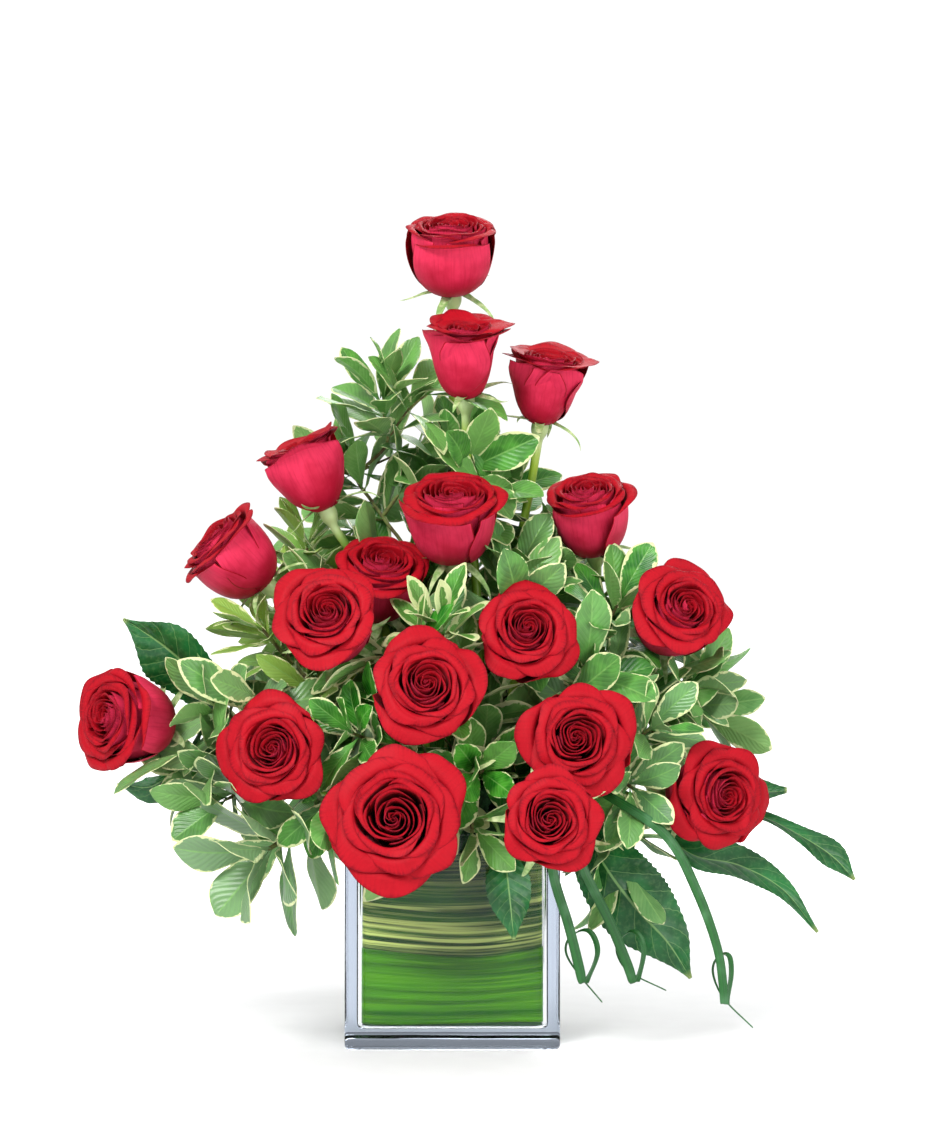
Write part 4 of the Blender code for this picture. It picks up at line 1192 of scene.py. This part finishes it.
def make_grass(node, finish):
    """A blade from the foam, over the rim and down to its folded loop, with a shallow groove."""
    hanging, looped = GRASS[node]
    stations = above([*hanging, *((place, *rest) for place, rest in zip(looped, LOOP))])
    foot = nearest_foot(node)
    first = np.array(stations[0][0])
    middle = foot * 0.45 + first * 0.55 + np.array([0.0, 0.0, 0.012])
    across = stations[0][2]
    stations = [(tuple(foot), 0.7, across), (tuple(middle), 0.8, across), *stations]
    stations = [(place, half * GRASS_HALF, side) for place, half, side in stations]
    centres, halves, sides, normals = blade_rows(stations, GRASS_ROWS)
    u = np.linspace(-1.0, 1.0, 7)
    groove = 0.28 * halves[:, None] * (np.abs(u)[None, :] - 0.5)
    points = centres[:, None] + (halves[:, None] * u)[..., None] * sides[:, None]
    points = points + groove[..., None] * normals[:, None]
    along = np.linspace(0.0, 1.0, len(centres))
    sheets = Sheets()
    sheets.grid(points, along=along[:, None], across=(u * 0.5 + 0.5)[None, :])
    blade = sheets.build(node.replace("grass_", "strap_"), [finish])
    solidify(blade, LEAF_THICKNESS)
    subdivide(blade)
    settle(blade, "grass_blade", node)


def broad_leaf(sheets, stations, rng):
    """A broad leaf with a sunken midrib, quilted between its side veins, finely toothed."""
    centres, halves, sides, normals = blade_rows(stations, BROAD_LEAF_ROWS)
    count = len(centres)
    along = np.linspace(0.0, 1.0, count)
    u = np.array([-1.0, -0.82, -0.55, -0.28, -0.07, 0.0, 0.07, 0.28, 0.55, 0.82, 1.0])
    teeth = 1.0 + 0.020 * (np.arange(count) % 4)
    halves = halves * teeth
    lateral = halves[:, None] * u
    quilt = 0.0007 * np.abs(np.sin((along[:, None] * 9 - np.abs(u)[None, :] * 1.6) * math.pi))
    quilt = quilt * np.sin(np.pi * np.minimum(np.abs(u), 0.999))[None, :]
    fold = 0.22 * np.abs(lateral) - 0.0006 * np.exp(-((u / 0.08) ** 2))[None, :]
    wave = 0.10 * halves[:, None] * np.sin(along * 11 + rng.uniform(0, 6))[:, None] * u**3
    lift = quilt + fold + wave
    points = centres[:, None] + lateral[..., None] * sides[:, None]
    points = points + lift[..., None] * normals[:, None]
    rng.random()  # keeps the draws in step
    sheets.grid(points, 1, along=along[:, None], across=(u * 0.5 + 0.5)[None, :])


def make_spray(node, stalk_green, leaf_green):
    """Broad leaves on a stalk from the foam."""
    rng = random.Random(len(node) * 7)
    stalk, *leaves = SPRAYS[node]
    places = [np.array((x, y, z + RIM)) for x, y, z in stalk]
    line = resampled([nearest_foot(node), *places], 24)
    sheets = Sheets()
    tube(sheets, line, np.linspace(*SPRAY_STALK_RADII, len(line)))
    for joint, *stations in leaves:
        start = (stalk[joint], 0.0012, stations[0][2])
        broad_leaf(sheets, above([start, *stations]), rng)
    spray = sheets.build(node.replace("broad_", "shiny_"), [stalk_green, leaf_green])
    subdivide(spray)
    settle(spray, "broad_leaf", node)


# ---- light, floor and camera ----


# Each light's name and place, the height on the vase's axis that it points at, size and watts.
LIGHTS = (
    ("key", (-0.9, -1.6, 1.5), 0.20, 0.8, 42.0),
    ("fill", (1.2, -1.6, 0.7), 0.25, 1.4, 19.0),
    ("back", (0.5, 1.6, 1.3), 0.25, 1.2, 16.0),
)
FLOOR_RINGS = (0.001, 0.2, 0.5, 1.2, 3.0, 8.0, 20.0)
FLOOR_FADE = (0.20, 1.3)  # how far from the vase the floor starts and ends its fade to white


def area_light(name, place, height, size, power):
    """A round soft light that points at a height on the vase's axis."""
    data = bpy.data.lights.new(name, "AREA")
    data.shape = "DISK"
    data.size = size
    data.energy = power
    lamp = bpy.data.objects.new(name, data)
    lamp.location = place
    away = Vector((0.0, 0.0, height)) - Vector(place)
    lamp.rotation_euler = away.to_track_quat("-Z", "Y").to_euler()
    SCENE.collection.objects.link(lamp)


def set_world():
    """White where the camera sees it, and elsewhere a soft light that is stronger from above."""
    world = bpy.data.worlds.new("studio")
    SCENE.world = world
    world.use_nodes = True
    world.node_tree.nodes.clear()
    wiring = Wiring(world.node_tree)
    rise = wiring.parts(wiring.node("TexCoord").outputs["Generated"])["Z"]
    ends = {"From_Min": -0.1, "From_Max": 0.8, "To_Min": 0.20, "To_Max": 0.92}
    strength = wiring.node("MapRange", Value=rise, **ends).outputs["Result"]
    lit = wiring.node("Background", Color=WHITE, Strength=strength)
    seen = wiring.node("Background", Color=WHITE, Strength=1.05)
    blend = wiring.node("MixShader", Fac=wiring.node("LightPath").outputs["Is Camera Ray"])
    wiring.put(blend.inputs[1], lit.outputs["Background"])
    wiring.put(blend.inputs[2], seen.outputs["Background"])
    wiring.node("OutputWorld", Surface=blend.outputs["Shader"])


def make_floor():
    """A round pale floor that the camera sees fade to white away from the vase."""
    rings = np.array(FLOOR_RINGS)
    turns = np.linspace(0.0, math.tau, 64, endpoint=False)
    points = np.zeros((len(rings), len(turns), 3))
    points[..., 0] = rings[:, None] * np.cos(turns)
    points[..., 1] = rings[:, None] * np.sin(turns)
    paint = Paint("pale_floor", Roughness=0.6, Emission_Color=WHITE)
    speck = paint.noise(paint.place(), 40.0)
    paint.colour(paint.mix(paint.span(speck, 0.3, 0.7), (0.86, 0.86, 0.87), (0.88, 0.88, 0.89)))
    away = paint.node("VectorMath", Vector=paint.place())
    away.operation = "LENGTH"
    glow = paint.span(away.outputs["Value"], *FLOOR_FADE, 0.0, 0.80)
    seen = paint.node("LightPath").outputs["Is Camera Ray"]
    paint.put(paint.shader.inputs["Emission Strength"], paint.sum("MULTIPLY", glow, seen))
    sheets = Sheets()
    sheets.grid(points, closed=True)
    floor = sheets.build("floor", [paint.material])
    floor.location.z = -0.0002


def set_stage():
    """The colours as they are, the world, the lights and the floor."""
    SCENE.view_settings.view_transform = "Standard"
    set_world()
    for light in LIGHTS:
        area_light(*light)
    make_floor()


def set_camera():
    """The photo's view: level, from the front, through a long lens."""
    data = bpy.data.cameras.new("camera")
    data.sensor_fit = "VERTICAL"
    data.sensor_height = 36.0
    data.lens = 103.8
    data.clip_end = 60.0
    camera = bpy.data.objects.new("camera", data)
    camera.location = (0.006, -1.9635, 0.288)
    camera.rotation_euler = (math.pi / 2, 0.0, 0.0)
    SCENE.collection.objects.link(camera)
    SCENE.camera = camera


def glass_paint():
    """Clear glass, faintly wavy and bluish in its depth, with its reflections held down."""
    clear = {"Transmission_Weight": 1.0, "Specular_Tint": (0.30, 0.31, 0.33, 1.0)}
    paint = Paint("clear_glass", Roughness=0.02, IOR=1.5, **clear)
    waves = paint.noise(paint.place(), 26.0, 1.0)
    paint.colour(paint.mix(waves, (0.93, 0.955, 0.97), (0.96, 0.975, 0.985)))
    paint.bump(waves, 0.0006, 0.25)
    body = paint.node("VolumeAbsorption", Color=(0.50, 0.58, 0.70, 1.0), Density=10.0)
    paint.put(paint.tree.nodes["Material Output"].inputs["Volume"], body.outputs["Volume"])
    return paint.material


def lining_paint(name, shades, streaks):
    """A long leaf round the inside of the glass. streaks is how much pale striping it has."""
    paint = Paint(name, Roughness=0.5, IOR=1.45, Specular_IOR_Level=0.15)
    x, y, _ = paint.parts(paint.place())
    up = paint.parts(paint.uv())["Y"]
    round_leaf = paint.node("CombineXYZ", X=x, Y=y, Z=up).outputs["Vector"]
    long_veins = paint.noise(paint.stretched(round_leaf, (12.0, 12.0, 60.0)), 1.0, 4.0, 0.65)
    wide_bands = paint.noise(paint.stretched(round_leaf, (8.0, 8.0, 9.0)), 1.0, 2.0)
    deep, mid, pale = shades
    shade = paint.mix(paint.span(wide_bands, 0.35, 0.65), deep, mid)
    shade = paint.mix(paint.span(long_veins, 0.30, 0.48, 0.45, 0.0), shade, deep)
    shade = paint.mix(paint.span(long_veins, 0.45, 0.75, 0.0, 0.40), shade, pale)
    if streaks:
        bands = paint.noise(paint.stretched(round_leaf, (6.0, 6.0, 17.0)), 1.0, 3.0, 0.55)
        lower = paint.span(up, 0.45, 0.80, 1.0, 0.15)
        streak = paint.sum("MULTIPLY", paint.span(bands, 0.48, 0.62, 0.0, streaks), lower)
        shade = paint.mix(streak, shade, pale)
    paint.colour(shade)
    paint.bump(long_veins, 0.00015, 0.5)
    return paint.material


def strap_paint():
    """Grass: long parallel veins, a grey bloom here and there."""
    paint = Paint("grass_strap", Roughness=0.38, IOR=1.45)
    uv = paint.uv()
    veins = paint.noise(paint.stretched(uv, (16.0, 1.4, 1.0)), 1.0, 3.0, 0.6)
    patch = paint.noise(paint.place(), 60.0, 2.0)
    shade = paint.mix(paint.span(veins, 0.3, 0.7), screen(14, 66, 26), screen(44, 108, 48))
    shade = paint.mix(paint.span(patch, 0.5, 0.75, 0.0, 0.35), shade, screen(96, 146, 104))
    paint.colour(shade)
    paint.bump(veins, 0.0002, 0.8)
    return paint.material


def broad_paint():
    """A broad leaf: pale midrib and side veins that slant towards the tip, and brown spots."""
    paint = Paint("broad_face", Roughness=0.28, IOR=1.45)
    vein = screen(120, 160, 96)
    across, along, _ = paint.parts(paint.uv())
    offset = paint.from_middle(across)
    patch = paint.noise(paint.place(), 55.0, 4.0)
    shade = paint.mix(paint.span(patch, 0.35, 0.7), screen(14, 74, 34), screen(34, 104, 52))
    slant = paint.sum("MULTIPLY_ADD", offset, -0.36, along)
    ribs = paint.sum("ABSOLUTE", paint.sum("SINE", paint.sum("MULTIPLY", slant, 28.3)))
    shade = paint.mix(paint.span(ribs, 0.0, 0.12, 0.55, 0.0), shade, vein)
    shade = paint.mix(paint.span(offset, 0.008, 0.024, 0.85, 0.0), shade, vein)
    fine = paint.noise(paint.place(), 420.0, 3.0)
    shade = paint.mix(paint.span(fine, 0.45, 0.75, 0.0, 0.18), shade, vein)
    blemish = paint.noise(paint.place(), 75.0, 2.0)
    shade = paint.mix(paint.span(blemish, 0.76, 0.80, 0.0, 0.7), shade, BLEMISH)
    shade = paint.mix(paint.span(along, 0.95, 1.0, 0.0, 0.6), shade, screen(176, 190, 120))
    paint.colour(shade)
    paint.bump(paint.sum("MULTIPLY_ADD", fine, 0.3, ribs), 0.00025, 0.8)
    return paint.material


# ---- materials and pieces, made ----

# In each petal paint the deep colour at the foot is partly painted shade and the bright one at the
# rim partly a painted highlight; the edge and vein colours are the petal's own.
INNER_PETAL = petal_paint(
    "petal_face", screen(122, 14, 24), screen(168, 22, 35), screen(88, 8, 26),
    screen(128, 16, 28),
)
OUTER_PETAL = petal_paint(
    "petal_back", screen(160, 24, 48), screen(216, 54, 86), screen(100, 12, 32),
    screen(144, 20, 42),
)
LEAF_TOP = foliage_paint(
    "foliage_face", screen(26, 100, 22), screen(76, 152, 50), screen(222, 230, 170),
    screen(128, 180, 96), 0.30,
)
LEAF_UNDER = foliage_paint(
    "foliage_back", screen(80, 142, 62), screen(112, 166, 86), screen(214, 222, 170),
    screen(140, 182, 108), 0.5,
)
WOOD = plain_paint("twig_bark", screen(84, 72, 44), screen(112, 124, 64), 300.0, 0.7, depth=0.0003)
GLASS = glass_paint()
STEM = plain_paint(
    "rose_stem", screen(104, 148, 40), screen(160, 190, 60), 90.0, 0.45, (1.0, 1.0, 0.25),
    end=screen(186, 206, 150),
)
SEPAL = plain_paint("sepal_face", screen(122, 160, 88), screen(192, 208, 152), 240.0, 0.6)
SPRAY_STALK = plain_paint("spray_stalk", screen(70, 110, 50), screen(110, 140, 66), 200.0, 0.5)
BROAD_LEAF = broad_paint()
GRASS_STRAP = strap_paint()
FOAM = plain_paint("wet_foam", screen(22, 58, 30), screen(44, 84, 44), 700.0, 0.95, depth=0.0006)
GREEN_LINER = lining_paint(
    "liner_green", (screen(20, 74, 0), screen(60, 118, 0), screen(112, 164, 10)), 0.0
)
STREAKED_LINER = lining_paint(
    "liner_streaked", (screen(6, 50, 4), screen(28, 84, 6), screen(188, 202, 112)), 0.95
)

set_camera()
set_stage()
make_vase(GLASS)
seam = sagging(SEAM, 0.006, 4)
make_liner(
    "lining_lower", "liner_leaf_lower", "liner_leaf_green", GREEN_LINER, LINER_HALF,
    lambda ring, turn: 0.0155 + 0.0008 * np.sin(3 * turn), seam, 21,
)
make_liner(
    "lining_upper", "liner_leaf_upper", "liner_leaf_streaked", STREAKED_LINER,
    LINER_HALF - 0.0005,
    lambda ring, turn: seam(ring, turn) - 0.004, sagging(RIM - 0.009, 0.003, 5), 22,
)
NODES["floral_foam"].data.materials.clear()
NODES["floral_foam"].data.materials.append(FOAM)
for node in GRASS:
    make_grass(node, GRASS_STRAP)
for node in SPRAYS:
    make_spray(node, SPRAY_STALK, BROAD_LEAF)
for place, node in enumerate(sorted(STYLES)):
    make_sprig(node, LEAF_TOP, LEAF_UNDER, WOOD, SPRIG_SEED + place)
for rose in ROSES:
    make_stalk(rose, STEM, SEPAL)
    make_bloom(rose, INNER_PETAL, OUTER_PETAL)
